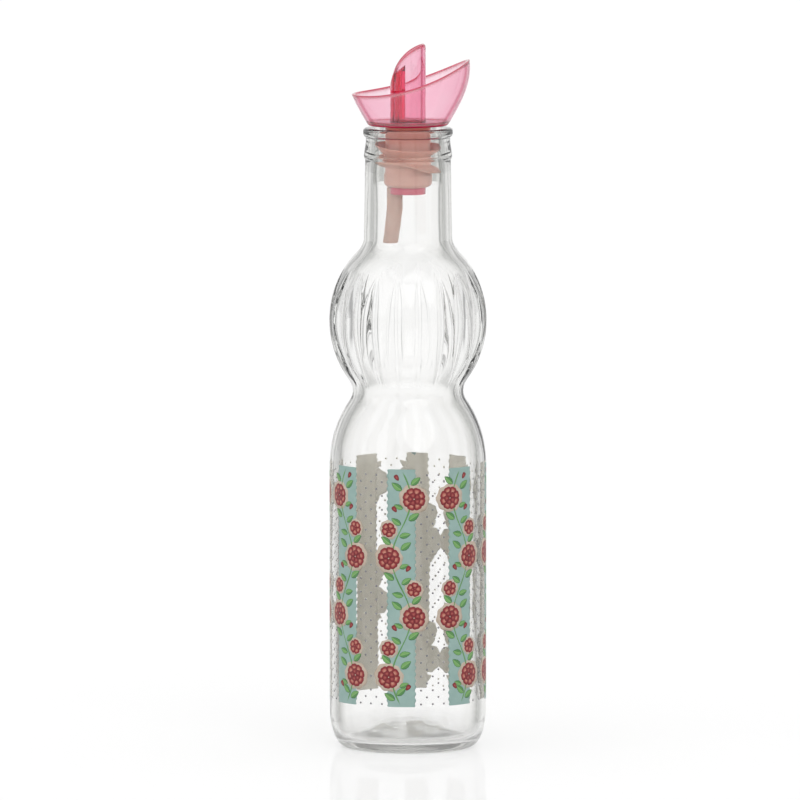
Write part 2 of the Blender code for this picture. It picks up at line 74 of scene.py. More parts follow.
# Glass: shoulder, waist, bulb and flutes
SHOULDER_RADIUS = 0.0388
WAIST_RADIUS = 0.0172
WAIST_BLEND = 0.0040
BULB_HALF_HEIGHT = 0.0310
FLUTE_COUNT = 20
FLUTE_DEPTH = 0.0010
FLUTE_HALF_LENGTH = 0.0201
FLUTE_DROP = 0.0020
LAND_SHARE = 0.18
LAND_LIMIT = 1.001
GROOVE_POWER = 1.6
FLUTE_COLUMNS = 12
# Glass: how the painted grey edge shade is shifted and weakened on the bulb, and the heights over which it
# fades in above the frosted base, which fades out over the same heights
FLUTE_EDGE_SHIFT = 0.16
NO_EDGE = 5.0
BULB_EDGE_SHADE_SHARE = 0.30
HEEL_EDGE_FOOT = 0.0055
HEEL_EDGE_TOP = 0.0105
SAME_PLACE = 0.000005

# Glass: points up the body, shoulder, bulb, both blends and neck, outside and inside
OUTER_STEPS = (24, 34, 66, 9, 14)
INNER_STEPS = (20, 24, 44, 9, 12)

# Glass: waves of the wall's inside, each a size, turns round, turns up and a start
SLOW_RIPPLES = ((0.00011, 2, 21, 0.7), (0.00008, 3, -34, 0), (0.00005, 5, 61, 2.1))
FINE_RIPPLES = ((0.00001, 23, 90, 0), (0.000008, 31, -140, 1.3))

# Glass: neck and finish
NECK_FOOT_RADIUS = 0.0153
NECK_TOP_RADIUS = 0.0148
NECK_BLEND = 0.0026
BEAD_RADIUS = 0.0155
BEAD_HEIGHT = 0.0031
BEAD_ROUNDING = 0.0012
GROOVE_RADIUS = 0.0146
GROOVE_HEIGHT = 0.0014
BAND_RADIUS = 0.0152
BAND_TOP_RADIUS = 0.0145
BAND_HEIGHT = 0.0066
BAND_ROUNDING = 0.0010
BORE_RADIUS = 0.0117
BORE_TAPER_HEIGHT = 0.0040
LIP_ROUNDING = 0.0008

# Stopper sleeve
SEAT_GAP = 0.0003
SLEEVE_RADIUS = 0.0078
SLEEVE_EDGE = 0.0003
COLLAR_RADIUS = 0.0083
COLLAR_HEIGHT = 0.0059
COLLAR_ROUNDING = 0.0018
FIN_ROOT_THICKNESS = 0.0011
FIN_RIM_THICKNESS = 0.0007
FIN_BEND_POWER = 1.5
FIN_FILLET = 0.0005
FIN_FILLET_SHARE = 0.18
FIN_FLAT_START = 0.3
FIN_FLAT_END = 0.94
UPPER_FIN_HEIGHT = 0.0107
UPPER_FIN_RISE = 0.0034
UPPER_FIN_SWING = 0.0014
UPPER_FIN_SIDE = math.radians(120)
LOWER_FIN_HEIGHT = 0.0078
LOWER_FIN_RISE = -0.0006
LOWER_FIN_SWING = 0.0020
LOWER_FIN_SIDE = math.radians(190)
LOWER_FIN_KINK = 2.2

# Pourer
STEM_RADIUS = 0.00625
STEM_PROTRUSION = 0.0025
STEM_EDGE = 0.0003
SPOUT_RADIUS = 0.0061
SPOUT_WALL = 0.0012
SPOUT_LOW_HEIGHT = 0.0143
SPOUT_TIP_HEIGHT = 0.0280
SPOUT_TIP_ROUNDING = 0.0009
SPOUT_CUT_SAGITTA = 0.0025
SPOUT_FILLET = 0.0006
CUP_FOOT_RADIUS = 0.0138
CUP_FLARE = 0.0076
CUP_FLARE_HEIGHT = 0.0200
CUP_WALL = 0.0012
CUP_FLOOR = 0.0012
CUP_FOOT_ROUNDING = 0.0005
CUP_FILLET = 0.0008
RIM_HEIGHT = 0.0135
RIM_LEAN = 0.0060
RIM_HOLLOW = 0.0034
RIM_EDGE = 0.0004
LIP_EDGE = 0.00025
SPOUT_EDGE = 0.0002
# Painted crimson glow: how far below the rims it reaches, and its strength on the cup's floor, the stem's foot
# and the air way
RIM_GLOW_DEPTH = 0.0008
CUP_FLOOR_GLOW = 0.2
STEM_FOOT_GLOW = 0.8
VENT_GLOW = 0.25
CHANNEL_RADIUS = 0.00255
CHANNEL_OFFSET = 0.0035
CHANNEL_LOW_HEIGHT = 0.0166
CHANNEL_TOP = 0.0208
CHANNEL_DROP = 0.0010
VENT_RADIUS = 0.0008
VENT_TOP_OFFSET = 0.0033
NIPPLE_RADIUS = 0.0014
NIPPLE_X = -0.0047
NIPPLE_Y = 0.0012
TUBE_RADIUS = 0.00275
TUBE_LEAN = 0.0016
TUBE_BEND_POWER = 1.3
TUBE_END_ROUNDING = 0.0007
BORE_FLARE = 0.12
SHARP_ANGLE = math.radians(50)
POURER_SHARP_ANGLE = math.radians(40)
OVERRUN = 0.0020

# Heights and radii worked out from the sizes above
CUP_HEIGHT = SLEEVE_TOP + SEAT_GAP
NECK_TOP = MOUTH_HEIGHT - BEAD_HEIGHT - GROOVE_HEIGHT - BAND_HEIGHT
STEM_FOOT = SLEEVE_FOOT - STEM_PROTRUSION
SPOUT_BORE_RADIUS = SPOUT_RADIUS - SPOUT_WALL
FIN_RIM_RADIUS = BORE_RADIUS - SEAT_GAP

# Print: angles run from the front, positive to the right as seen from there
PRINT_FOOT = 0.0168
PRINT_TOP = 0.0990
STRIPE_PITCH = math.radians(46.55)
FIRST_STRIPE = math.radians(-144.55)
STRIPE_COUNT = 7
STRIPE_HALF_ANGLE = math.radians(10.4)
SEAM_STRIPE = math.radians(173.1)
SEAM_HALF_ANGLE = math.radians(9.1)
SEAM_NOTCH = 0.0013
SEAM_NOTCH_PLACE = 0.35
SEAM_NOTCH_SPREAD = 0.12
SEAM_NOTCH_POWER = 40
SCALLOP_PITCH = 0.0023
SCALLOP_DEPTH = 0.00045
STRIPE_CORNER = 0.0008
DOT_RADIUS = 0.00038
DOT_SPACING = 0.00415
DOT_ROW_PITCH = 0.00240
DOT_FOOT = 0.0009
DOT_CLEARANCE = 1.38
GROUND_SIZE = 1.24
GROUND_WAVE = 0.05
GROUND_OVAL = 0.06
VINE_SWING = 0.0033
VINE_LENGTH = 0.0411
VINE_HALF_WIDTH = 0.00024
VINE_TAPER_SHARE = 0.02
VINE_UNEVENNESS = 0.2
PETAL_NOTCH = 0.10
PETAL_NOTCH_SPREAD = 0.28
PETAL_TIP_WIDENING = 0.32
BUD_WIDTH = 0.62
LEAF_WIDTH = 0.52
LEAF_POWER = 1.6
LEAF_TEETH = 13
LEAF_TOOTH = 0.05
LEAF_TAPER = 0.25

# Print: each ink's inner and outer radius, the inner ones just inside the glass that the ink is fired on
STRIPE_RADII = (0.026980, 0.027026)
DOT_RADII = (0.026984, 0.027030)
UNDERLAY_RADII = (0.026988, 0.027036)
STEM_RADII = (0.026991, 0.027042)
LEAF_RADII = (0.026994, 0.027050)
PETAL_RADII = (0.026996, 0.027060)
HEART_RADII = (0.026998, 0.027070)


# Meshes


def grid_faces(rows, columns, closed_rows=False):
    """Four-sided faces of a grid whose columns close round, numbered row by row."""
    row = np.arange(rows if closed_rows else rows - 1)[:, None]
    column = np.arange(columns)[None, :]
    after = (column + 1) % columns
    above = (row + 1) % rows
    corners = (row * columns + column, row * columns + after, above * columns + after,
               above * columns + column)
    return np.stack(corners, axis=-1).reshape(-1, 4)


def fan_faces(pole, ring_first, columns, opening):
    """Triangles from a pole to a ring; an opening fan comes before the ring, a closing one after it."""
    column = np.arange(columns)
    after = (column + 1) % columns
    here, there = (after, column) if opening else (column, after)
    return np.stack((np.full(columns, pole), ring_first + here, ring_first + there), axis=-1)


def capped_faces(rows, columns, count=1):
    """Faces of closed shapes all alike, each numbered row by row and then its two poles: all their grids,
    then all the fans to a first pole, then all those to a last one."""
    each = rows * columns
    blocks = (grid_faces(rows, columns), fan_faces(each, 0, columns, True),
              fan_faces(each + 1, each - columns, columns, False))
    offsets = np.arange(count)[:, None, None] * (each + 2)
    return [(block + offsets).reshape(-1, block.shape[1]) for block in blocks]


def mark_points(mesh, label, values):
    """Writes a named value on each of a mesh's points."""
    attribute = mesh.attributes.new(label, "FLOAT", "POINT")
    attribute.data.foreach_set("value", np.asarray(values, dtype=np.float32).ravel())


def fill_mesh(name, points, faces, uv=None, inner=None):
    """A smooth mesh from arrays: points, lists of equal-sided faces, a UV place per point, and which faces
    wear the second material."""
    mesh = bpy.data.meshes.new(name)
    corners = np.concatenate([block.ravel() for block in faces]).astype(np.int32)
    sides = np.concatenate([np.full(len(block), block.shape[1]) for block in faces])
    mesh.vertices.add(len(points))
    mesh.vertices.foreach_set("co", np.asarray(points, dtype=np.float32).ravel())
    mesh.loops.add(len(corners))
    mesh.loops.foreach_set("vertex_index", corners)
    mesh.polygons.add(len(sides))
    mesh.polygons.foreach_set("loop_start", np.append(0, np.cumsum(sides)[:-1]).astype(np.int32))
    if inner is not None:
        mesh.polygons.foreach_set("material_index", inner.astype(np.int32))
    mesh.update(calc_edges=True)
    if uv is not None:
        layer = mesh.uv_layers.new(name="UVMap")
        layer.uv.foreach_set("vector", np.asarray(uv, dtype=np.float32)[corners].ravel())
    mesh.shade_smooth()
    return mesh


def skin_rings(name, rings, poles=None):
    """Skins rings of points (rows, columns, 3), with a pole at each end or the last joined to the first."""
    rows, columns = rings.shape[:2]
    points = rings.reshape(-1, 3)
    if poles is None:
        return fill_mesh(name, points, [grid_faces(rows, columns, True)])
    return fill_mesh(name, np.vstack((points, poles)), capped_faces(rows, columns))


def new_object(name, data):
    """An object in the scene, at the origin."""
    thing = bpy.data.objects.new(name, data)
    bpy.context.scene.collection.objects.link(thing)
    return thing


def place_piece(name, mesh, materials, body, slot, *nodes):
    """A piece of the bottle, riding on a body and standing for the nodes it replaces."""
    for material in materials:
        mesh.materials.append(material)
    piece = new_object(name, mesh)
    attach(piece, body)
    if nodes:
        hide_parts(*nodes)


# Rings and profiles, which are arrays of (radius, height) rows


def ring_angles(columns):
    """Even angles once round."""
    return math.tau * np.arange(columns) / columns


def headings(angle):
    """Flat directions at angles."""
    return np.stack((np.cos(angle), np.sin(angle)), axis=-1)


def ring_points(radius, height, turn, centre=(0, 0)):
    """Points at radii and heights all round an upright line."""
    return np.stack((centre[0] + radius * np.cos(turn), centre[1] + radius * np.sin(turn),
                     height + 0 * turn), axis=-1)


def round_rings(profile, turn, centre=(0, 0)):
    """Level circles through a profile's points, about an upright line."""
    return ring_points(profile[:, :1], profile[:, 1:], turn, centre)


def arc(centre, size, start, end, steps):
    """Points along an arc at even steps of its angle; the size is one radius, or an ellipse's two."""
    return np.array(centre) + headings(np.linspace(start, end, steps + 1)) * size


def line(start, end, steps):
    """Points along a straight line, both ends included."""
    share = np.linspace(0, 1, steps + 1)[:, None]
    return np.array(start) * (1 - share) + np.array(end) * share


def parabola(start, corner, end, steps):
    """Points on the parabola that leaves the start and reaches the end along the lines to the corner."""
    share = np.linspace(0, 1, steps + 1)[:, None]
    return (np.array(start) * (1 - share) ** 2 + np.array(corner) * 2 * share * (1 - share)
            + np.array(end) * share**2)


def tangent_corner(start, start_slope, end, end_slope):
    """Where the tangents at two points cross, with slopes as radius per height."""
    rise = ((end[0] - start[0]) - end_slope * (end[1] - start[1])) / (start_slope - end_slope)
    return (start[0] + start_slope * rise, start[1] + rise)


def rounded_line(corners, reach, steps):
    """A broken line whose inner corners are eased by parabolas that start a given reach before them."""
    corners = np.array(corners)
    pieces = [corners[:1]]
    for before, here, after in zip(corners, corners[1:], corners[2:]):
        back, ahead = before - here, after - here
        start = here + back * min(0.5, reach / np.linalg.norm(back))
        end = here + ahead * min(0.5, reach / np.linalg.norm(ahead))
        pieces.append(parabola(start, here, end, steps))
    return np.vstack((*pieces, corners[-1:]))


def join_profiles(*parts):
    """One profile from parts that meet, without the points that repeat."""
    joined = [parts[0]]
    for part in parts[1:]:
        meets = np.linalg.norm(part[0] - joined[-1][-1]) < SAME_PLACE
        joined.append(part[1:] if meets else part)
    return np.vstack(joined)


# The glass


def bulb_reach(radius):
    """Height above or below the bulb's middle at which its ellipse has a given radius."""
    return BULB_HALF_HEIGHT * math.sqrt(1 - (radius / BULB_RADIUS) ** 2)


# The shoulder's arc comes in to the waist's radius at the waist's height
WAIST_REACH = WAIST_RADIUS - (BODY_RADIUS - SHOULDER_RADIUS)
WAIST_HEIGHT = BODY_TOP + math.sqrt(SHOULDER_RADIUS**2 - WAIST_REACH**2)
BULB_HEIGHT = WAIST_HEIGHT + bulb_reach(WAIST_RADIUS)
NECK_FOOT = BULB_HEIGHT + bulb_reach(NECK_FOOT_RADIUS)
NECK_SLOPE = (NECK_TOP_RADIUS - NECK_FOOT_RADIUS) / (NECK_TOP - NECK_FOOT)


def flank_profile(body_steps, shoulder_steps, bulb_steps, blend_steps, neck_steps):
    """Outside of the wall without flutes: cylinder, shoulder arc, waist parabola, bulb ellipse, neck cone."""
    straight = line((BODY_RADIUS, HEEL_HEIGHT), (BODY_RADIUS, BODY_TOP), body_steps)
    shoulder_end = math.asin((WAIST_HEIGHT - WAIST_BLEND - BODY_TOP) / SHOULDER_RADIUS)
    shoulder = arc((BODY_RADIUS - SHOULDER_RADIUS, BODY_TOP), SHOULDER_RADIUS, 0, shoulder_end,
                   shoulder_steps)
    bulb_start = math.asin((WAIST_HEIGHT + WAIST_BLEND - BULB_HEIGHT) / BULB_HALF_HEIGHT)
    bulb_end = math.asin((NECK_FOOT - NECK_BLEND - BULB_HEIGHT) / BULB_HALF_HEIGHT)
    bulb = arc((0, BULB_HEIGHT), (BULB_RADIUS, BULB_HALF_HEIGHT), bulb_start, bulb_end, bulb_steps)
    squash = BULB_RADIUS / BULB_HALF_HEIGHT
    waist_corner = tangent_corner(shoulder[-1], -math.tan(shoulder_end), bulb[0],
                                  -squash * math.tan(bulb_start))
    waist = parabola(shoulder[-1], waist_corner, bulb[0], blend_steps)
    neck_foot = (NECK_FOOT_RADIUS + NECK_SLOPE * NECK_BLEND, NECK_FOOT + NECK_BLEND)
    root_corner = tangent_corner(bulb[-1], -squash * math.tan(bulb_end), neck_foot, NECK_SLOPE)
    root = parabola(bulb[-1], root_corner, neck_foot, blend_steps)
    neck = line(neck_foot, (NECK_TOP_RADIUS, NECK_TOP), neck_steps)
    return join_profiles(straight, shoulder, waist, bulb, root, neck)


def inner_flank_profile():
    """Inside of the wall, from under the mouth down to the floor's corner: the flank moved inwards."""
    flank = flank_profile(*INNER_STEPS)
    run = np.gradient(flank, axis=0)
    outward = np.column_stack((run[:, 1], -run[:, 0]))
    outward /= np.linalg.norm(outward, axis=1)[:, None]
    inside = (flank - WALL_THICKNESS * outward)[::-1]
    corner_top = VALLEY_THICKNESS + INNER_CORNER_HEIGHT
    below_mouth = inside[:, 1] < NECK_TOP - 2 * BORE_TAPER_HEIGHT
    return inside[below_mouth & (inside[:, 1] > corner_top + FOOT_RING_ROUNDING)]


def foot_profile():
    """Under the base: a dome, a parabola of the radius, out to the rounded foot ring."""
    share = np.linspace(0, 1, 13)[1:]
    dome = np.column_stack(((FOOT_RING_RADIUS - FOOT_RING_WIDTH) * share, PUSH_UP_HEIGHT * (1 - share**2)))
    edge_start = dome[-1] - FOOT_RING_ROUNDING * np.array(DOME_EDGE_RUN)
    edge = parabola(edge_start, dome[-1], dome[-1] + (FOOT_RING_ROUNDING, 0), 3)
    heel = arc((FOOT_RING_RADIUS, HEEL_HEIGHT), (BODY_RADIUS - FOOT_RING_RADIUS, HEEL_HEIGHT),
               -math.pi / 2, 0, 18)
    return join_profiles(dome[:-1], edge, heel)


def floor_profile():
    """Inside floor: round the corner, over the valley and up the dome, which is flat at both its ends."""
    corner = arc((VALLEY_RADIUS, VALLEY_THICKNESS + INNER_CORNER_HEIGHT),
                 (BODY_RADIUS - WALL_THICKNESS - VALLEY_RADIUS, INNER_CORNER_HEIGHT), 0, -math.pi / 2, 12)
    share = np.linspace(1, 0, 19)[1:-1]
    rise = (PUSH_UP_HEIGHT + BASE_THICKNESS - VALLEY_THICKNESS) * (1 - share**2) ** 2 * (1 + 2 * share**2)
    return join_profiles(corner, np.column_stack((VALLEY_RADIUS * share, VALLEY_THICKNESS + rise)))


def finish_profile():
    """Outside of the finish: eased band, groove and round bead, over the lip and down the bore."""
    band_top = NECK_TOP + BAND_HEIGHT
    bead_foot = band_top + GROOVE_HEIGHT
    bead_inside = BEAD_RADIUS - BEAD_ROUNDING
    band = rounded_line(
        [(NECK_TOP_RADIUS, NECK_TOP), (BAND_RADIUS, NECK_TOP + BAND_ROUNDING),
         (BAND_RADIUS, NECK_TOP + 2 * BAND_ROUNDING), (BAND_TOP_RADIUS, band_top),
         (GROOVE_RADIUS, bead_foot), (bead_inside + BEAD_ROUNDING / 2, bead_foot)], BAND_ROUNDING / 2, 3)
    lower = arc((bead_inside, bead_foot + BEAD_ROUNDING), BEAD_ROUNDING, -math.pi / 4, 0, 4)
    upper = arc((bead_inside, MOUTH_HEIGHT - BEAD_ROUNDING), BEAD_ROUNDING, 0, math.pi / 2, 6)
    lip = arc((BORE_RADIUS + LIP_ROUNDING, MOUTH_HEIGHT - LIP_ROUNDING), LIP_ROUNDING,
              math.pi / 2, math.pi, 5)
    narrowing = NECK_SLOPE * BORE_TAPER_HEIGHT
    taper_foot = (NECK_TOP_RADIUS - WALL_THICKNESS - narrowing, NECK_TOP - BORE_TAPER_HEIGHT)
    lower_neck = (taper_foot[0] - narrowing, taper_foot[1] - BORE_TAPER_HEIGHT)
    bore = rounded_line([lip[-1], (BORE_RADIUS, NECK_TOP), taper_foot, lower_neck], BAND_ROUNDING, 3)
    return join_profiles(band, lower, upper, lip, bore)


def add_waves(waves, angle, height):
    """The sum of sine waves of the angle and the height."""
    return sum(size * np.sin(across * angle + up * height + start) for size, across, up, start in waves)


def grazing_turn(wall, radius):
    """How far a round wall is turned away where a straight look through it grazes its inside."""
    inner_share = np.clip(1 - wall / np.maximum(radius, wall), 0, 1)
    return 1 - np.sqrt(1 - inner_share**2)


def glass_mesh():
    """One closed skin. Each ring is a circle; on the bulb it is drawn in at every groove by the depth times a
    power of how far a place is past the land between two grooves. The depth runs out at both ends, where
    the land widens to close the groove to a point. The inside strays by slow waves, and by fine ones up the
    bulb. "wall_edge" holds where a look grazes the inside of the wall, "painted_shade_strength" how strong the
    painted grey shade laid there is, and "stippled" is 1 on the outside of the base, whose skin is a little
    frosted."""
    outside = join_profiles(foot_profile(), flank_profile(*OUTER_STEPS), finish_profile())
    profile = np.vstack((outside, join_profiles(inner_flank_profile(), floor_profile())))
    turn = ring_angles(FLUTE_COLUMNS * FLUTE_COUNT)
    radius, height = profile[:, :1], profile[:, 1:]
    is_outside = (np.arange(len(profile)) < len(outside))[:, None]
    along = np.clip(np.abs(height - BULB_HEIGHT + FLUTE_DROP) / FLUTE_HALF_LENGTH, 0, 1)
    depth = FLUTE_DEPTH * (1 - along**4)
    across = np.abs(2 * ((turn * FLUTE_COUNT / math.tau + 0.5) % 1) - 1)
    land = LAND_SHARE + (1 - LAND_SHARE) * along**3
    groove = depth * np.clip((across - land) / (LAND_LIMIT - land), 0, 1) ** GROOVE_POWER * is_outside
    on_bulb = np.exp(-(((height - BULB_HEIGHT) / FLUTE_HALF_LENGTH) ** 4))
    ripple = add_waves(SLOW_RIPPLES, turn, height) + on_bulb * add_waves(FINE_RIPPLES, turn, height)
    ripple = ripple * np.clip(radius / VALLEY_RADIUS, 0, 1) * (~is_outside) * (height < NECK_TOP)
    mesh = skin_rings("bottle_glass_fine", ring_points(radius - groove + ripple, height, turn),
                      ((0, 0, PUSH_UP_HEIGHT), (0, 0, PUSH_UP_HEIGHT + BASE_THICKNESS)))
    turned_away = grazing_turn(WALL_THICKNESS, np.maximum(radius, 2 * WALL_THICKNESS))
    turned_away = np.where(is_outside & (height > HEEL_HEIGHT / 4),
                           turned_away - FLUTE_EDGE_SHIFT * depth / FLUTE_DEPTH, NO_EDGE)
    over_heel = np.clip((height - HEEL_EDGE_FOOT) / (HEEL_EDGE_TOP - HEEL_EDGE_FOOT), 0, 1)
    strength = over_heel * (1 - (1 - BULB_EDGE_SHADE_SHARE) * on_bulb)
    stippled = np.where(is_outside, 1 - over_heel, 0.0)
    for label, values, pole in (("wall_edge", turned_away, NO_EDGE), ("painted_shade_strength", strength, 0.0),
                                ("stippled", stippled, 0.0)):
        mark_points(mesh, label, np.append(np.repeat(values, len(turn)), (pole, pole)))
    return mesh


# The print

STRIPE_ANGLES = np.append(FIRST_STRIPE + STRIPE_PITCH * np.arange(STRIPE_COUNT), SEAM_STRIPE)
STRIPE_HALVES = np.append(np.full(STRIPE_COUNT, STRIPE_HALF_ANGLE), SEAM_HALF_ANGLE)
VINE_SIDES = np.where(np.arange(STRIPE_COUNT + 1) % 2, -1.0, 1.0)


def wrap_print(across, height, radius):
    """Lays flat print places round the body: the angle is the distance across over the body's radius."""
    angle = across / BODY_RADIUS
    return np.stack((radius * np.sin(angle), -radius * np.cos(angle), height + 0 * angle), axis=-1)


def patch_mesh(name, centres, outlines, turns, radii, rings):
    """Thin closed patches of ink. Each outline, clockwise as seen from outside, is scaled by even shares on
    the outer face, and back again on the inner one; "edge" holds the share and the UV map the place."""
    count, columns = outlines.shape[:2]
    shares = np.linspace(0, 1, rings + 1)[1:]
    layers = np.append(shares, shares[::-1])
    depth = np.repeat(radii[::-1], rings)[None, :, None]
    edge = np.tile(np.append(np.repeat(layers, columns), (0, 0)), count)
    layers = layers[None, :, None, None]
    cos, sin = np.cos(turns)[:, None], np.sin(turns)[:, None]
    turned = np.stack((outlines[..., 0] * cos - outlines[..., 1] * sin,
                       outlines[..., 0] * sin + outlines[..., 1] * cos), axis=-1)
    flat = centres[:, None, None, :] + turned[:, None] * layers
    body = wrap_print(flat[..., 0], flat[..., 1], depth).reshape(count, -1, 3)
    poles = [wrap_print(centres[:, 0], centres[:, 1], radius)[:, None] for radius in radii[::-1]]
    points = np.concatenate((body, *poles), axis=1).reshape(-1, 3)
    half_size = np.abs(outlines).max(axis=(1, 2))[:, None, None, None]
    local = (outlines[:, None] * layers / half_size).reshape(count, -1, 2)
    local = np.pad(local, ((0, 0), (0, 2), (0, 0))).reshape(-1, 2)
    inner = np.concatenate((np.tile(np.arange((2 * rings - 1) * columns) >= rings * columns, count),
                            np.zeros(count * columns), np.ones(count * columns)))
    mesh = fill_mesh(name, points, capped_faces(2 * rings, columns, count), local, inner)
    mark_points(mesh, "edge", edge)
    return mesh


def there_and_back(steps):
    """Shares of a band's half width over its outer face, and back along its inner one."""
    side = np.linspace(-1, 1, steps)
    return np.append(side, side[::-1])


def band_mesh(name, middle, half, height, radii, steps, dip=0.0):
    """Thin closed bands up the body. The cross-section runs over the outer face and back inside, across the
    middle line by a share of the half width on either side of it."""
    count, rows = half.shape
    across = there_and_back(steps)
    columns = len(across)
    place = middle[..., None] + half[..., None] * across
    body = wrap_print(place, height[:, None] - dip, np.repeat(radii[::-1], steps)).reshape(count, -1, 3)
    ends = [wrap_print(middle[:, row], height[row], np.mean(radii))[:, None] for row in (0, -1)]
    points = np.concatenate((body, *ends), axis=1).reshape(-1, 3)
    inner = np.append(np.tile(np.arange((rows - 1) * columns) % columns >= steps, count),
                      np.zeros(2 * count * columns))
    return fill_mesh(name, points, capped_faces(rows, columns, count), inner=inner)


def stripe_mesh():
    """The stripes. The half width is the stripe's own plus a cosine of the height for the scallops, less the
    rounding of the corners; the last stripe has a small notch in its top where the band meets."""
    length = PRINT_TOP - PRINT_FOOT
    scallops = round(length / SCALLOP_PITCH)
    corner = STRIPE_CORNER / length * np.linspace(0, 1, 6) ** 2
    share = np.unique(np.concatenate((np.linspace(0, 1, 8 * scallops + 1), corner, 1 - corner)))
    height = PRINT_FOOT + length * share
    scallop = 0.5 * SCALLOP_DEPTH * np.cos(math.tau * share * scallops)
    inset = np.clip(1 - np.minimum(height - PRINT_FOOT, PRINT_TOP - height) / STRIPE_CORNER, 0, 1)
    rounding = STRIPE_CORNER * (1 - np.sqrt(1 - inset**2))
    half = (STRIPE_HALVES * BODY_RADIUS)[:, None] + scallop - rounding
    middle = np.repeat(STRIPE_ANGLES[:, None] * BODY_RADIUS, len(share), axis=1)
    notch = np.append(np.zeros(STRIPE_COUNT), SEAM_NOTCH)[:, None, None]
    notch = notch * np.exp(-(((there_and_back(12) - SEAM_NOTCH_PLACE) / SEAM_NOTCH_SPREAD) ** 2))
    return band_mesh("printed_stripes", middle, half, height, STRIPE_RADII, 12,
                     notch * share[:, None] ** SEAM_NOTCH_POWER)


def vine_line(rise):
    """Where a vine runs beside its stripe's middle, a sine of the height over the print's foot."""
    return VINE_SWING * np.sin(math.tau * rise / VINE_LENGTH)


def vine_mesh():
    """A thin stem that winds up every stripe, tapered to nothing at its ends."""
    share = np.linspace(0, 1, 161)
    height = np.linspace(PRINT_FOOT + DOT_FOOT, PRINT_TOP - DOT_FOOT, 161)
    middle = STRIPE_ANGLES[:, None] * BODY_RADIUS + VINE_SIDES[:, None] * vine_line(height - PRINT_FOOT)
    taper = np.clip(np.minimum(share, 1 - share) / VINE_TAPER_SHARE, 0.1, 1)
    half = VINE_HALF_WIDTH * taper * (1 + VINE_UNEVENNESS * np.sin(40 * share)) + 0 * middle
    return band_mesh("printed_vines", middle, half, height, STEM_RADII, 3)


def vine_points(shape):
    """Places of one kind of shape on every vine, mirrored from stripe to stripe, with turns and sizes."""
    shape = np.array(shape)
    side = VINE_SIDES[:, None]
    rise = VINE_LENGTH * shape[:, 0]
    across = STRIPE_ANGLES[:, None] * BODY_RADIUS + side * (vine_line(rise) + shape[:, 1])
    places = np.stack((across, PRINT_FOOT + rise + 0 * across), axis=-1).reshape(-1, 2)
    turn = np.where(side > 0, shape[:, 2], math.pi - shape[:, 2])
    return places, turn.ravel(), np.tile(shape[:, 3], len(side))


# Shapes on a vine: share of its length, distance off the stem, turn and size. The stem swings out to one
# side at a quarter of its length, back over the middle at a half, and to the other side at three quarters.
BLOSSOMS = (
    (0.25, 0.0011, 0.20, 0.0041), (0.75, -0.0011, 0.55, 0.0041),
    (1.25, 0.0011, 0.95, 0.0041), (1.75, -0.0011, 0.35, 0.0041),
)
SMALL_BLOSSOMS = (
    (0.49, 0.0042, 0.10, 0.0026), (0.99, -0.0042, 0.50, 0.0026), (1.49, 0.0042, 0.80, 0.0026),
)
BUDS = (
    (0.165, -0.0052, 2.20, 0.0012), (0.665, 0.0052, 0.95, 0.0012), (1.165, -0.0052, 2.20, 0.0012),
    (1.665, 0.0052, 0.95, 0.0012), (1.930, 0.0030, 1.00, 0.0012),
)
LEAF_RUN = (
    (0.185, -0.0040, 2.75, 0.0017), (0.355, -0.0042, 2.50, 0.0022), (0.400, 0.0034, 0.70, 0.0021),
    (0.445, -0.0024, 2.90, 0.0020), (0.560, 0.0030, 0.60, 0.0020), (0.600, -0.0024, 2.55, 0.0022),
    (0.685, 0.0040, 0.40, 0.0017), (0.855, 0.0042, 0.65, 0.0022),
)
LEAVES = (
    (0.085, 0.0024, 0.55, 0.0022), (0.130, -0.0024, 2.45, 0.0021), *LEAF_RUN,
    (0.900, -0.0034, 2.45, 0.0021), (0.945, 0.0024, 0.25, 0.0020), (1.060, -0.0030, 2.55, 0.0020),
    (1.100, 0.0024, 0.60, 0.0022), *((share + 1, *rest) for share, *rest in LEAF_RUN),
    (1.900, -0.0030, 2.45, 0.0021),
)


def shape_mesh(name, places, outline, radii, rings):
    """One outline laid at every place, at its turn and size."""
    centres, turns, sizes = places
    return patch_mesh(name, centres, outline[None] * sizes[:, None, None], turns, radii, rings)


def dot_mesh():
    """Small round dots between the stripes, in rows of three and two by turns, or of two and one where the
    gap is narrow, left out under the blossoms."""
    starts = STRIPE_ANGLES + STRIPE_HALVES
    ends = np.roll(STRIPE_ANGLES - STRIPE_HALVES, -1) + np.append(np.zeros(STRIPE_COUNT), math.tau)
    rows = int((PRINT_TOP - PRINT_FOOT - DOT_FOOT) / DOT_ROW_PITCH) + 1
    places = []
    for start, end in zip(starts, ends):
        middle = 0.5 * (start + end) * BODY_RADIUS
        widest = round((end - start) * BODY_RADIUS / DOT_SPACING)
        for row in range(rows):
            count = widest - row % 2
            across = middle + DOT_SPACING * (np.arange(count) - 0.5 * (count - 1))
            places += [(place, PRINT_FOOT + DOT_FOOT + DOT_ROW_PITCH * row) for place in across]
    places = np.array(places)
    circle = math.tau * BODY_RADIUS
    for middles, _, sizes in map(vine_points, (BLOSSOMS, SMALL_BLOSSOMS)):
        for middle, size in zip(middles, sizes):
            away = places - middle
            away[:, 0] = (away[:, 0] + 0.5 * circle) % circle - 0.5 * circle
            places = places[np.linalg.norm(away, axis=1) > size * DOT_CLEARANCE]
    no_turns, sizes = np.zeros(len(places)), np.full(len(places), DOT_RADIUS)
    return shape_mesh("printed_dots", (places, no_turns, sizes), headings(-ring_angles(10)), DOT_RADII, 1)


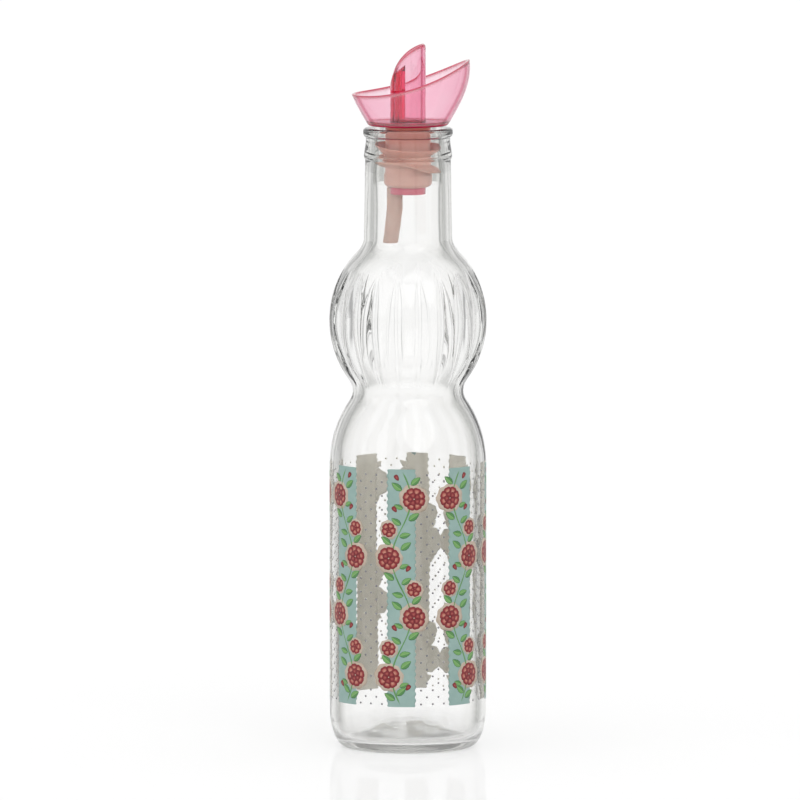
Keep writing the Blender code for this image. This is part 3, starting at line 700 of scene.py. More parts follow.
def underlay_mesh():
    """Grounds under the blossoms: circles whose radius waves nine times round."""
    parts = map(vine_points, (BLOSSOMS, SMALL_BLOSSOMS))
    places = [np.concatenate(values) for values in zip(*parts)]
    turn = -ring_angles(72)
    wave = GROUND_SIZE + GROUND_WAVE * np.cos(9 * turn) + GROUND_OVAL * np.cos(2 * turn + 0.6)
    return shape_mesh("printed_underlay", places, wave[:, None] * headings(turn), UNDERLAY_RADII, 5)


def petal_outline(length, width):
    """A petal about its own middle: an ellipse that is wider towards its tip, with a shallow notch there."""
    turn = -ring_angles(28)
    notch = PETAL_NOTCH * np.exp(-((np.angle(np.exp(1j * turn)) / PETAL_NOTCH_SPREAD) ** 2))
    y = width * np.sin(turn) * (1 + PETAL_TIP_WIDENING * np.cos(turn))
    return np.stack((length * (np.cos(turn) - notch), y), axis=-1)


def petal_mesh(name, shape, count, inner_share, outer_share, width_share, radii, lag):
    """Rings of petals, all alike, set round the middle of every blossom of one kind."""
    centres, turns, sizes = vine_points(shape)
    direction = turns[:, None] + (ring_angles(count) + lag)
    middle = 0.5 * (inner_share + outer_share) * sizes[:, None, None]
    places = (centres[:, None] + middle * headings(direction)).reshape(-1, 2)
    outline = petal_outline(0.5 * (outer_share - inner_share), width_share)
    return shape_mesh(name, (places, direction.ravel(), np.repeat(sizes, count)), outline, radii, 4)


def leaf_mesh():
    """Pointed leaves: the width follows a power of the sine round the outline, with a fine toothed edge."""
    turn = -ring_angles(44)
    sine = np.sin(turn)
    tooth = 1 + LEAF_TOOTH * np.cos(LEAF_TEETH * turn)
    y = LEAF_WIDTH * np.sign(sine) * np.abs(sine) ** LEAF_POWER * tooth * (1 - LEAF_TAPER * np.cos(turn))
    return shape_mesh("printed_leaves", vine_points(LEAVES), np.stack((np.cos(turn), y), axis=-1),
                      LEAF_RADII, 5)


# The stopper sleeve and the breather tube


def upper_fin_rise(angle):
    """Height of the upper fin's rim over its root, a cosine that stands it up towards one side."""
    return UPPER_FIN_RISE + UPPER_FIN_SWING * np.cos(angle - UPPER_FIN_SIDE)


def lower_fin_rise(angle):
    """Height of the lower fin's rim over its root: bent up on one side, with a quick turn to folded down."""
    swing = np.tanh(LOWER_FIN_KINK * np.cos(angle - LOWER_FIN_SIDE)) / math.tanh(LOWER_FIN_KINK)
    return LOWER_FIN_RISE + LOWER_FIN_SWING * swing


def fin_rings(root_height, rise, turn):
    """Rings down a fin: out along its top, round its rim and back underneath. The middle line rises with a
    power of the share of its reach, and the root is eased into the sleeve by a parabola."""
    shares = np.append(FIN_FILLET_SHARE * np.linspace(0, 1, 5), np.linspace(FIN_FLAT_START, FIN_FLAT_END, 7))
    thickness = FIN_ROOT_THICKNESS + (FIN_RIM_THICKNESS - FIN_ROOT_THICKNESS) * shares
    half = 0.5 * thickness + FIN_FILLET * np.clip(1 - shares / FIN_FILLET_SHARE, 0, 1) ** 2
    rim = np.linspace(math.pi / 2, -math.pi / 2, 7)[1:-1]
    rim_share = FIN_FLAT_END + (1 - FIN_FLAT_END) * np.cos(rim)
    share = np.concatenate((shares, rim_share, shares[::-1]))[:, None]
    side = np.concatenate((half, 0.5 * FIN_RIM_THICKNESS * np.sin(rim), -half[::-1]))[:, None]
    radius = SLEEVE_RADIUS + (FIN_RIM_RADIUS - SLEEVE_RADIUS) * share
    return ring_points(radius, root_height + side + rise(turn) * share**FIN_BEND_POWER, turn)


def sleeve_mesh():
    """The sleeve, from its top edge down the outside over both fins and the collar, and up its bore."""
    turn = ring_angles(160)
    bore = STEM_RADIUS + SEAT_GAP
    top = parabola((SLEEVE_RADIUS - SLEEVE_EDGE, SLEEVE_TOP), (SLEEVE_RADIUS, SLEEVE_TOP),
                   (SLEEVE_RADIUS, SLEEVE_TOP - SLEEVE_EDGE), 3)
    collar_top = SLEEVE_FOOT + COLLAR_HEIGHT
    rounding_top = SLEEVE_FOOT + COLLAR_ROUNDING
    ease = rounded_line([(SLEEVE_RADIUS, collar_top), (COLLAR_RADIUS, collar_top - COLLAR_ROUNDING),
                         (COLLAR_RADIUS, rounding_top)], SLEEVE_EDGE, 3)
    foot = arc((COLLAR_RADIUS - COLLAR_ROUNDING, rounding_top), COLLAR_ROUNDING, 0, -math.pi / 2, 8)
    rings = np.concatenate((
        round_rings(top, turn),
        fin_rings(SLEEVE_FOOT + UPPER_FIN_HEIGHT, upper_fin_rise, turn),
        fin_rings(SLEEVE_FOOT + LOWER_FIN_HEIGHT, lower_fin_rise, turn),
        round_rings(join_profiles(ease, foot), turn),
        round_rings(line((bore, SLEEVE_FOOT), (bore, SLEEVE_TOP), 6), turn),
    ))
    mesh = skin_rings("stopper_sleeve_fine", rings[::-1])
    mesh.set_sharp_from_angle(angle=SHARP_ANGLE)
    return mesh


def tube_mesh():
    """The breather tube: circles about a line that is upright on the nipple and leans out below it, by a
    power of the share of its free length."""
    bore = NIPPLE_RADIUS + SEAT_GAP
    end_top = TUBE_FOOT + TUBE_END_ROUNDING
    profile = np.vstack((
        join_profiles(arc((TUBE_RADIUS - TUBE_END_ROUNDING, end_top), TUBE_END_ROUNDING, -math.pi / 2, 0, 6),
                      line((TUBE_RADIUS, end_top), (TUBE_RADIUS, TUBE_TOP), 30)),
        line((bore, TUBE_TOP), (bore, TUBE_FOOT), 30)))
    share = np.clip((NIPPLE_FOOT - profile[:, 1:]) / (NIPPLE_FOOT - TUBE_FOOT), 0, 1)
    rings = round_rings(profile, ring_angles(64), (NIPPLE_X, NIPPLE_Y))
    rings[..., 0] -= TUBE_LEAN * share**TUBE_BEND_POWER
    mesh = skin_rings("breather_tube_fine", rings)
    mesh.set_sharp_from_angle(angle=SHARP_ANGLE)
    return mesh


# The pourer


def cup_radius(height):
    """Outside of the cup at a height over its underside: a sine wave, widest at the flare height."""
    return CUP_FOOT_RADIUS + CUP_FLARE * np.sin(math.pi / 2 * height / CUP_FLARE_HEIGHT)


def rim_height(x):
    """Height of the rim over the underside: a hollow parabola that climbs towards the raised lip."""
    share = x / (CUP_FOOT_RADIUS + CUP_FLARE)
    return RIM_HEIGHT + RIM_LEAN * share + RIM_HOLLOW * share**2


def wall_top(inset, cos):
    """Height at which the flaring wall, less an inset, meets the rim, found by going round a few times."""
    height = np.full_like(cos, RIM_HEIGHT)
    for _ in range(12):
        height = rim_height((cup_radius(height) - inset) * cos) - RIM_EDGE
    return height


def mouth_height(x):
    """Height of the spout's slanted mouth over the underside: a bowed line that ends in a rounded tip."""
    low = np.array((-SPOUT_RADIUS, SPOUT_LOW_HEIGHT))
    tip = np.array((SPOUT_RADIUS - SPOUT_TIP_ROUNDING, SPOUT_TIP_HEIGHT))
    run, rise = tip - low
    share = np.linspace(0, 1, 60)[:, None]
    bow = 4 * SPOUT_CUT_SAGITTA * share * (1 - share) / math.hypot(run, rise)
    slant = low + (run, rise) * share + bow * (-rise, run)
    end = arc(tip - (0, SPOUT_TIP_ROUNDING), SPOUT_TIP_ROUNDING, math.pi / 2, 0, 7)[1:]
    table = np.vstack((slant, end))
    return np.interp(x, table[:, 0], table[:, 1])


def channel_top(x):
    """Height of the air channel's slanted end over the underside."""
    share = np.clip((x + CHANNEL_OFFSET + CHANNEL_RADIUS) / (2 * CHANNEL_RADIUS), 0, 1)
    return CHANNEL_LOW_HEIGHT + (CHANNEL_TOP - CHANNEL_LOW_HEIGHT) * share


def pourer_rings():
    """Rings of the whole moulding: up the stem, out under the cup, up and over its rim, in along the floor,
    up the spout, over its mouth, down past the air channel and out of the stem's foot."""
    turn = math.tau * (np.arange(176) + 0.5) / 176
    cos, sin = np.cos(turn), np.sin(turn)
    rings = []

    def add(x, y, height):
        rings.append(np.stack((x, y, CUP_HEIGHT + height + 0 * turn), axis=-1))

    def add_round(*profile):
        for radius, height in profile:
            add(radius * cos, radius * sin, height)

    stem_foot = STEM_FOOT - CUP_HEIGHT
    stem_edge = stem_foot + STEM_EDGE
    cup_edge = CUP_FOOT_RADIUS - CUP_FOOT_ROUNDING
    add_round(*join_profiles(
        parabola((STEM_RADIUS - STEM_EDGE, stem_foot), (STEM_RADIUS, stem_foot), (STEM_RADIUS, stem_edge), 3),
        line((STEM_RADIUS, stem_edge), (STEM_RADIUS, 0), 11),
        line((STEM_RADIUS, 0), (cup_edge, 0), 6),
        parabola((cup_edge, 0), (CUP_FOOT_RADIUS, 0), (cup_radius(CUP_FOOT_ROUNDING), CUP_FOOT_ROUNDING), 4)))

    outer_top, inner_top = wall_top(0, cos), wall_top(CUP_WALL, cos)
    for share in np.linspace(0, 1, 29)[1:]:
        height = CUP_FOOT_ROUNDING + (outer_top - CUP_FOOT_ROUNDING) * share
        add_round((cup_radius(height), height))
    for angle in np.linspace(0, math.pi, 9)[1:-1]:
        inward = 0.5 * (1 - math.cos(angle))
        radius = cup_radius(outer_top) * (1 - inward) + (cup_radius(inner_top) - CUP_WALL) * inward
        add_round((radius, rim_height(radius * cos) - RIM_EDGE * (1 - math.sin(angle))))
    corner_height = CUP_FLOOR + CUP_FILLET
    for share in np.linspace(1, 0, 29):
        height = corner_height + (inner_top - corner_height) * share
        add_round((cup_radius(height) - CUP_WALL, height))
    corner_radius = cup_radius(CUP_FLOOR) - CUP_WALL
    floor_edge = corner_radius - CUP_FILLET
    fillet_edge = SPOUT_RADIUS + SPOUT_FILLET
    spout_foot = CUP_FLOOR + SPOUT_FILLET
    add_round(*join_profiles(
        parabola((cup_radius(corner_height) - CUP_WALL, corner_height), (corner_radius, CUP_FLOOR),
                 (floor_edge, CUP_FLOOR), 4),
        line((floor_edge, CUP_FLOOR), (fillet_edge, CUP_FLOOR), 5),
        parabola((fillet_edge, CUP_FLOOR), (SPOUT_RADIUS, CUP_FLOOR), (SPOUT_RADIUS, spout_foot), 4))[1:])

    outer_mouth = mouth_height(SPOUT_RADIUS * cos) - LIP_EDGE
    inner_mouth = mouth_height(SPOUT_BORE_RADIUS * cos) - LIP_EDGE
    for share in np.linspace(0, 1, 31)[1:]:
        add_round((SPOUT_RADIUS, spout_foot + (outer_mouth - spout_foot) * share))
    for angle in np.linspace(0, math.pi, 9)[1:-1]:
        radius = SPOUT_RADIUS - 0.5 * SPOUT_WALL * (1 - math.cos(angle))
        add_round((radius, mouth_height(radius * cos) - LIP_EDGE * (1 - math.sin(angle))))

    # The bore's outline: a circle, except where the air channel's rod stands in it
    rod_half = math.acos((SPOUT_BORE_RADIUS**2 + CHANNEL_OFFSET**2 - CHANNEL_RADIUS**2)
                         / (2 * SPOUT_BORE_RADIUS * CHANNEL_OFFSET))
    rod_spread = math.atan2(SPOUT_BORE_RADIUS * math.sin(rod_half),
                            CHANNEL_OFFSET - SPOUT_BORE_RADIUS * math.cos(rod_half))
    behind = turn - math.pi
    in_rod = np.abs(behind) < rod_half
    bend = -behind / rod_half * rod_spread
    wall_x, wall_y = SPOUT_BORE_RADIUS * cos, SPOUT_BORE_RADIUS * sin
    rod_x = np.where(in_rod, CHANNEL_RADIUS * np.cos(bend) - CHANNEL_OFFSET, wall_x)
    rod_y = np.where(in_rod, CHANNEL_RADIUS * np.sin(bend), wall_y)
    depth = np.hypot(rod_x - wall_x, rod_y - wall_y)
    drop = CHANNEL_DROP * (1 - depth / depth.max())
    junction = channel_top(-SPOUT_BORE_RADIUS * math.cos(rod_half))
    shelf = np.where(in_rod, channel_top(wall_x), junction)
    for share in np.linspace(0, 1, 12):
        add_round((SPOUT_BORE_RADIUS, inner_mouth + (shelf - inner_mouth) * share))
    for share in np.linspace(0, 1, 8)[1:]:
        x = wall_x + (rod_x - wall_x) * share
        level = np.where(in_rod, channel_top(x), junction) - drop * share
        add(x, wall_y + (rod_y - wall_y) * share, level)
    for share in np.linspace(0, 1, 25)[1:]:
        add(rod_x, rod_y, level + (stem_edge - level) * share)
    for share in (0.25, 0.6, 1):
        flare = (STEM_RADIUS - STEM_EDGE) * BORE_FLARE * share
        add(rod_x + flare * cos, rod_y + flare * sin, stem_foot + STEM_EDGE * (1 - share) ** 2)
    return np.array(rings)


def solid_rod(name, radius, foot, top, centre, lean=(0, 0)):
    """A plain round rod between two heights, whose top may lean to one side of its foot."""
    rings = round_rings(np.array(((radius, foot), (radius, top))), ring_angles(40), centre)
    rings[1, :, :2] += lean
    return new_object(name, skin_rings(name, rings, rings.mean(axis=1)))


def mark_pourer(mesh, foot, foot_height, top, top_height):
    """Marks where light gathers in the moulding, for a painted crimson glow. "rim" is 1 on the rims and under
    the cup, less on its floor, the stem's foot and the leaning air way between the given places, and falls off
    below the rims with the square of the depth; "rod" is 1 on the channel, which gets painted shade;
    "wall_edge" holds where a look grazes an inside, for the painted crimson edge shade."""
    points = np.empty(3 * len(mesh.vertices), dtype=np.float32)
    mesh.vertices.foreach_get("co", points)
    x, y, z = points.reshape(-1, 3).T
    radius, height = np.hypot(x, y), z - CUP_HEIGHT
    in_cup = (radius > SPOUT_RADIUS + SPOUT_FILLET) & (height > 0)
    in_spout = (radius < SPOUT_RADIUS + SPOUT_EDGE) & (height > CUP_FLOOR)
    depth = np.where(in_cup, rim_height(x) - height, np.where(in_spout, mouth_height(x) - height, 1.0))
    rim = np.exp(-((np.clip(depth, 0, None) / RIM_GLOW_DEPTH) ** 2))
    on_floor = (height < CUP_FLOOR + SPOUT_EDGE) & (radius > STEM_RADIUS)
    rim = np.where(on_floor, np.where(height < CUP_FLOOR / 2, 1.0, CUP_FLOOR_GLOW), rim)
    rim = np.where(z < SLEEVE_FOOT + SPOUT_EDGE, STEM_FOOT_GLOW, rim)
    share = np.clip((z - foot_height) / (top_height - foot_height), 0, 1)
    off = np.hypot(x - foot[0] - (top[0] - foot[0]) * share, y - foot[1] - (top[1] - foot[1]) * share)
    mark_points(mesh, "rim", np.where(off < VENT_RADIUS + SPOUT_EDGE / 2, VENT_GLOW, rim))
    mark_points(mesh, "rod", (np.hypot(x + CHANNEL_OFFSET, y) < CHANNEL_RADIUS + SPOUT_EDGE / 2)
                & (height > CUP_FLOOR))
    outside = (np.abs(radius - cup_radius(height)) < SPOUT_EDGE / 2) & in_cup
    outside |= (np.abs(radius - SPOUT_RADIUS) < SPOUT_EDGE / 2) & in_spout
    turned_away = grazing_turn(np.where(in_cup, CUP_WALL, SPOUT_WALL), radius)
    mark_points(mesh, "wall_edge", np.where(outside, turned_away, NO_EDGE))


def pourer_mesh():
    """The moulding's rings, with the tube's seat cut in its foot, the nipple added and the air way bored."""
    base = new_object("pourer_shape", skin_rings("pourer_shape", pourer_rings()))
    nipple = np.array((NIPPLE_X, NIPPLE_Y))
    knee = SLEEVE_FOOT + OVERRUN
    vent_foot = knee - OVERRUN
    vent_top = CUP_HEIGHT + CHANNEL_TOP + OVERRUN
    top = np.array((-VENT_TOP_OFFSET, 0))
    foot = nipple - (top - nipple) / (vent_top - knee) * OVERRUN
    tools = (
        ("DIFFERENCE", solid_rod("tube_seat", TUBE_RADIUS + SEAT_GAP, STEM_FOOT - OVERRUN, SLEEVE_FOOT,
                                 nipple)),
        ("UNION", solid_rod("nipple", NIPPLE_RADIUS, NIPPLE_FOOT, SLEEVE_FOOT + OVERRUN / 2, nipple)),
        ("DIFFERENCE", solid_rod("vent_low", VENT_RADIUS, NIPPLE_FOOT - OVERRUN, knee, nipple)),
        ("DIFFERENCE", solid_rod("vent_high", VENT_RADIUS, vent_foot, vent_top, foot, top - foot)),
    )
    for operation, tool in tools:
        modifier = base.modifiers.new(tool.name, "BOOLEAN")
        modifier.operation = operation
        modifier.solver = "EXACT"
        modifier.object = tool
    graph = bpy.context.evaluated_depsgraph_get()
    mesh = bpy.data.meshes.new_from_object(base.evaluated_get(graph))
    mesh.name = "pourer_fine"
    for thing in (base, *(tool for _, tool in tools)):
        bpy.data.objects.remove(thing, do_unlink=True)
    mesh.materials.clear()
    mesh.shade_smooth()
    mesh.set_sharp_from_angle(angle=POURER_SHARP_ANGLE)
    mark_pourer(mesh, foot, vent_foot, top, vent_top)
    return mesh


# Materials


def plug(tree, socket, value):
    """Links another node's socket to a socket, or sets a plain value on it."""
    if isinstance(value, bpy.types.NodeSocket):
        tree.links.new(value, socket)
    else:
        socket.default_value = value


def add_node(tree, kind, inputs=None, **settings):
    """Adds a node, sets its properties, and links or sets each named or numbered input."""
    node = tree.nodes.new(kind)
    for name, value in settings.items():
        setattr(node, name, value)
    for name, value in (inputs or {}).items():
        plug(tree, node.inputs[name], value)
    return node


def add_math(tree, operation, *values):
    """One step of arithmetic; returns its result."""
    return add_node(tree, "ShaderNodeMath", dict(enumerate(values)), operation=operation).outputs[0]


def add_noise(tree, place, scale, detail=3.0):
    """Noise at a place, from 0 to 1."""
    return add_node(tree, "ShaderNodeTexNoise", {"Vector": place, "Scale": scale,
                                                 "Detail": detail}).outputs["Fac"]


def add_ramp(tree, factor, stops):
    """Colours laid along a factor, each stop a place and a linear colour."""
    ramp = add_node(tree, "ShaderNodeValToRGB", {"Fac": factor})
    elements = ramp.color_ramp.elements
    while len(elements) < len(stops):
        elements.new(0.5)
    for element, (place, colour) in zip(elements, stops):
        element.position = place
        element.color = (*colour, 1.0)
    return ramp.outputs["Color"]


def add_range(tree, value, low, high, to_low, to_high):
    """A value carried from one range to another, held inside it."""
    return add_node(tree, "ShaderNodeMapRange", {
        "Value": value, "From Min": low, "From Max": high, "To Min": to_low, "To Max": to_high,
    }).outputs["Result"]


def stray(tree, value, place, scale, detail, amount):
    """A value that strays by a noise, half an amount up or down at most."""
    moved = add_math(tree, "MULTIPLY_ADD", add_noise(tree, place, scale, detail), amount, value)
    return add_math(tree, "SUBTRACT", moved, 0.5 * amount)


def marked(tree, label):
    """A value that is written on the mesh's points."""
    return add_node(tree, "ShaderNodeAttribute", attribute_name=label).outputs["Fac"]


def split_place(tree, place):
    """The X, Y and Z of a place."""
    return add_node(tree, "ShaderNodeSeparateXYZ", {0: place}).outputs


def object_place(tree):
    """The place on the piece, in metres."""
    return add_node(tree, "ShaderNodeTexCoord").outputs["Object"]


def blend_colours(tree, factor, first, second, how="MIX"):
    """Two colours mixed, or the first with the second laid over it in another way."""
    return add_node(tree, "ShaderNodeMix", {"Factor": factor, 6: first, 7: second}, data_type="RGBA",
                    blend_type=how).outputs[2]


def absorb(tree, density, colour):
    """Tints what passes through the piece by how much of it there is."""
    volume = add_node(tree, "ShaderNodeVolumeAbsorption", {"Density": density, "Color": (*colour, 1.0)})
    tree.links.new(volume.outputs["Volume"], tree.nodes["Material Output"].inputs["Volume"])


def painted_edge_shade(tree, colours):
    """Painted shade: colours laid by how far past its "wall_edge" a surface is turned away from the look."""
    facing = add_node(tree, "ShaderNodeLayerWeight", {"Blend": 0.5}).outputs["Facing"]
    past = add_math(tree, "SUBTRACT", facing, marked(tree, "wall_edge"))
    return add_ramp(tree, add_range(tree, past, *EDGE_SHADE_REACH, 0.0, 1.0), colours)


def new_material(name, surface, **values):
    """A material with its shader's plain values set, and its roughness and bump from noise; returns it with
    its tree, its shader's inputs, the place on the piece and the roughness."""
    material = bpy.data.materials.new(name)
    material.use_nodes = True
    tree = material.node_tree
    inputs = tree.nodes["Principled BSDF"].inputs
    for label, value in values.items():
        inputs[label.replace("_", " ").title().replace("Ior", "IOR")].default_value = value
    place = object_place(tree)
    (scale, detail, *limits), (bump_scale, bump_detail, strength, distance) = surface
    rough = add_range(tree, add_noise(tree, place, scale, detail), *limits)
    bump = add_node(tree, "ShaderNodeBump", {"Height": add_noise(tree, place, bump_scale, bump_detail),
                                             "Strength": strength, "Distance": distance})
    tree.links.new(rough, inputs["Roughness"])
    tree.links.new(bump.outputs["Normal"], inputs["Normal"])
    return material, tree, inputs, place, rough


def glass_material():
    """Clear soda glass: a faint warm grey tint with depth, slow waves in its surface, faint handling haze, a
    frosted base, and painted grey shade where the look through the wall grazes its inside and again along its
    outline, standing in for the dark that the wall refracts and reflects."""
    material, tree, inputs, place, haze = new_material("clear_soda_glass", GLASS_SURFACE,
                                                       transmission_weight=1.0, ior=1.5)
    tint = add_ramp(tree, add_noise(tree, place, 60.0), GLASS_TINT)
    # Painted grey shade where a look grazes the wall's inside, and along the outline
    edge_shaded = blend_colours(tree, marked(tree, "painted_shade_strength"), tint, painted_edge_shade(tree, EDGE_PAINTED_SHADE_GREY), "MULTIPLY")
    stippled = marked(tree, "stippled")
    frost = add_range(tree, stippled, 0.0, 1.0, 0.0, FROST_ROUGHNESS)
    clearness = add_range(tree, stippled, 0.0, 1.0, 1.0, FROST_CLEARNESS)
    tree.links.new(edge_shaded, inputs["Base Color"])
    tree.links.new(add_math(tree, "ADD", haze, frost), inputs["Roughness"])
    tree.links.new(clearness, inputs["Transmission Weight"])
    absorb(tree, 40.0, GLASS_DEPTH_TINT)
    return material


def pink_material():
    """Clear pink plastic whose colour deepens with thickness, with painted crimson shade where a look grazes
    its walls and on the air channel's rod, and a painted crimson glow where light gathers at its rims and
    floor;
    with flow lines and fine scratches."""
    material, tree, inputs, place, _ = new_material("clear_pink_moulding", PINK_SURFACE,
                                                    transmission_weight=1.0, ior=1.49)
    tint = add_ramp(tree, add_noise(tree, place, 140.0), PINK_TINT)
    # Painted crimson shade where a look grazes the walls
    edge_shaded = blend_colours(tree, 1.0, tint, painted_edge_shade(tree, EDGE_PAINTED_SHADE_CRIMSON), "MULTIPLY")
    # The air channel's rod is drawn deep crimson: painted shade for the dark vent line inside it
    rod_shaded = blend_colours(tree, marked(tree, "rod"), edge_shaded, ROD_PAINTED_SHADE, "MULTIPLY")
    # Painted crimson glow where light gathers: the base colour goes crimson and the plastic less clear
    rim = marked(tree, "rim")
    tree.links.new(blend_colours(tree, rim, rod_shaded, RIM_PAINTED_GLOW), inputs["Base Color"])
    tree.links.new(add_range(tree, rim, 0.0, 1.0, 1.0, RIM_CLEARNESS), inputs["Transmission Weight"])
    absorb(tree, 240.0, PINK_DEPTH_TINT)
    return material


def beige_material(name, stops, low_height, high_height):
    """Soft pinkish-beige plastic whose colour changes up its height, which on the sleeve is painted light and
    shade, with a waxy sheen and faint mottling.
    """
    material, tree, inputs, place, _ = new_material(
        name, BEIGE_SURFACE, ior=1.46, subsurface_weight=0.25, subsurface_scale=0.002,
        subsurface_radius=(1.0, 0.55, 0.45))
    height = stray(tree, split_place(tree, place)["Z"], place, 250.0, 3.0, 0.0016)
    level = add_range(tree, height, low_height, high_height, 0.0, 1.0)
    tree.links.new(add_ramp(tree, level, stops), inputs["Base Color"])
    return material


def ink_material(name, stops, factor_from):
    """Fired ink: colours laid along a factor, with a fine printed grain and a satin surface."""
    material, tree, inputs, place, _ = new_material(name, INK_SURFACE, ior=1.45)
    grainy = stray(tree, factor_from(tree, place), place, 1200.0, 2.0, 0.12)
    tree.links.new(add_ramp(tree, grainy, stops), inputs["Base Color"])
    return material


def slow_mottle(tree, place):
    """A factor that wanders slowly over the print."""
    return add_noise(tree, place, 320.0)


def edge_share(tree, place):
    """A factor that runs from 0 in the middle of each patch of ink to 1 at its outline."""
    return stray(tree, marked(tree, "edge"), place, 1400.0, 2.0, 0.30)


def leaf_share(tree, place):
    """A factor across each leaf: light along the rib, one half darker than the other, dark at the edge."""
    split = split_place(tree, add_node(tree, "ShaderNodeUVMap", uv_map="UVMap").outputs["UV"])
    across = add_math(tree, "ABSOLUTE", split["Y"])
    rib = add_range(tree, across, 0.02, 0.06, 0.0, 0.45)
    vein = add_math(tree, "PINGPONG", add_math(tree, "SUBTRACT", split["X"], across), 0.11)
    veins = add_range(tree, vein, 0.0, 0.03, -0.18, 0.0)
    half = add_range(tree, split["Y"], -0.02, 0.02, 0.28, 0.0)
    rim = add_range(tree, marked(tree, "edge"), 0.78, 0.92, 0.0, 0.35)
    return add_math(tree, "ADD", add_math(tree, "ADD", rib, veins), add_math(tree, "ADD", half, rim))


# Surfaces: the roughness's noise scale, its detail, and the range of noise carried to a range of roughness;
# then the bump's noise scale, its detail, its strength and its height in metres
GLASS_SURFACE = ((180.0, 4.0, 0.45, 0.8, 0.0, 0.02), (90.0, 2.0, 0.12, 0.0006))
PINK_SURFACE = ((500.0, 4.0, 0.4, 0.8, 0.01, 0.06), (220.0, 2.0, 0.10, 0.0004))
BEIGE_SURFACE = ((900.0, 3.0, 0.3, 0.7, 0.26, 0.40), (700.0, 3.0, 0.25, 0.0001))
INK_SURFACE = ((1500.0, 3.0, 0.3, 0.7, 0.38, 0.52), (2500.0, 3.0, 0.2, 0.00002))

# Colours
SAGE = ((0.3, (0.288, 0.428, 0.396)), (0.7, (0.325, 0.468, 0.432)))
GREY = ((0.3, (0.27, 0.262, 0.27)), (0.7, (0.34, 0.33, 0.34)))
SAND = ((0.3, (0.50, 0.40, 0.31)), (0.7, (0.60, 0.50, 0.41)))
BACKING = ((0.3, (0.83, 0.79, 0.69)), (0.7, (0.88, 0.84, 0.74)))
RED = ((0.0, (0.60, 0.30, 0.22)), (0.42, (0.47, 0.13, 0.10)), (0.62, (0.27, 0.030, 0.035)),
       (1.0, (0.22, 0.018, 0.025)))
DEEP_RED = ((0.0, (0.45, 0.11, 0.09)), (0.5, (0.26, 0.03, 0.035)), (1.0, (0.17, 0.012, 0.018)))
STEM_GREEN = ((0.3, (0.10, 0.27, 0.08)), (0.7, (0.14, 0.33, 0.10)))
GREEN = ((0.0, (0.32, 0.50, 0.20)), (0.35, (0.20, 0.42, 0.13)), (0.75, (0.085, 0.25, 0.075)),
         (1.0, (0.045, 0.15, 0.06)))
GLASS_TINT = ((0.3, (0.99, 0.988, 0.982)), (0.7, (1.0, 1.0, 1.0)))
GLASS_DEPTH_TINT = (0.86, 0.865, 0.845)
# Painted shade: dark grey where a look through the glass grazes its wall's inside, and grey again along its
# outline
EDGE_PAINTED_SHADE_GREY = ((0.0, (1.0, 1.0, 1.0)), (0.20, (0.86, 0.86, 0.85)), (0.36, (0.30, 0.305, 0.29)),
             (0.48, (0.37, 0.375, 0.36)), (0.62, (0.84, 0.84, 0.82)), (1.0, (0.62, 0.62, 0.61)))
# Painted crimson shade on the pink plastic, laid the same way where a look grazes its walls
EDGE_PAINTED_SHADE_CRIMSON = ((0.0, (1.0, 1.0, 1.0)), (0.24, (0.96, 0.80, 0.86)), (0.33, (0.50, 0.10, 0.19)),
                (0.42, (0.56, 0.14, 0.23)), (0.52, (0.96, 0.70, 0.79)), (1.0, (0.92, 0.56, 0.67)))
PINK_TINT = ((0.3, (1.0, 0.93, 0.96)), (0.7, (1.0, 0.98, 0.99)))
PINK_DEPTH_TINT = (0.887, 0.042, 0.333)
# Painted shade multiplied over the air channel's rod, for the dark vent line inside it
ROD_PAINTED_SHADE = (1.0, 0.15, 0.33, 1.0)
# Painted crimson glow where light gathers at the rims, under the cup and in the air way
RIM_PAINTED_GLOW = (0.66, 0.010, 0.085, 1.0)
# Sleeve: painted light and shade up its height, lightest about the fins, darker and redder towards the cup as
# painted shade in the neck and painted pink light from the cup
SLEEVE_BEIGE_PAINTED_LIGHT = ((0.0, (0.56, 0.335, 0.285)), (0.4, (0.67, 0.40, 0.33)), (0.7, (0.60, 0.285, 0.23)),
                (1.0, (0.56, 0.20, 0.15)))
TUBE_BEIGE = ((0.0, (0.48, 0.34, 0.29)), (1.0, (0.46, 0.32, 0.27)))
# How far past a grazing look the painted edge shade ramps reach
EDGE_SHADE_REACH = (-0.30, 0.45)
FROST_ROUGHNESS = 0.12
FROST_CLEARNESS = 0.78
# How clear the pourer stays under its painted crimson glow
RIM_CLEARNESS = 0.25


# Pieces


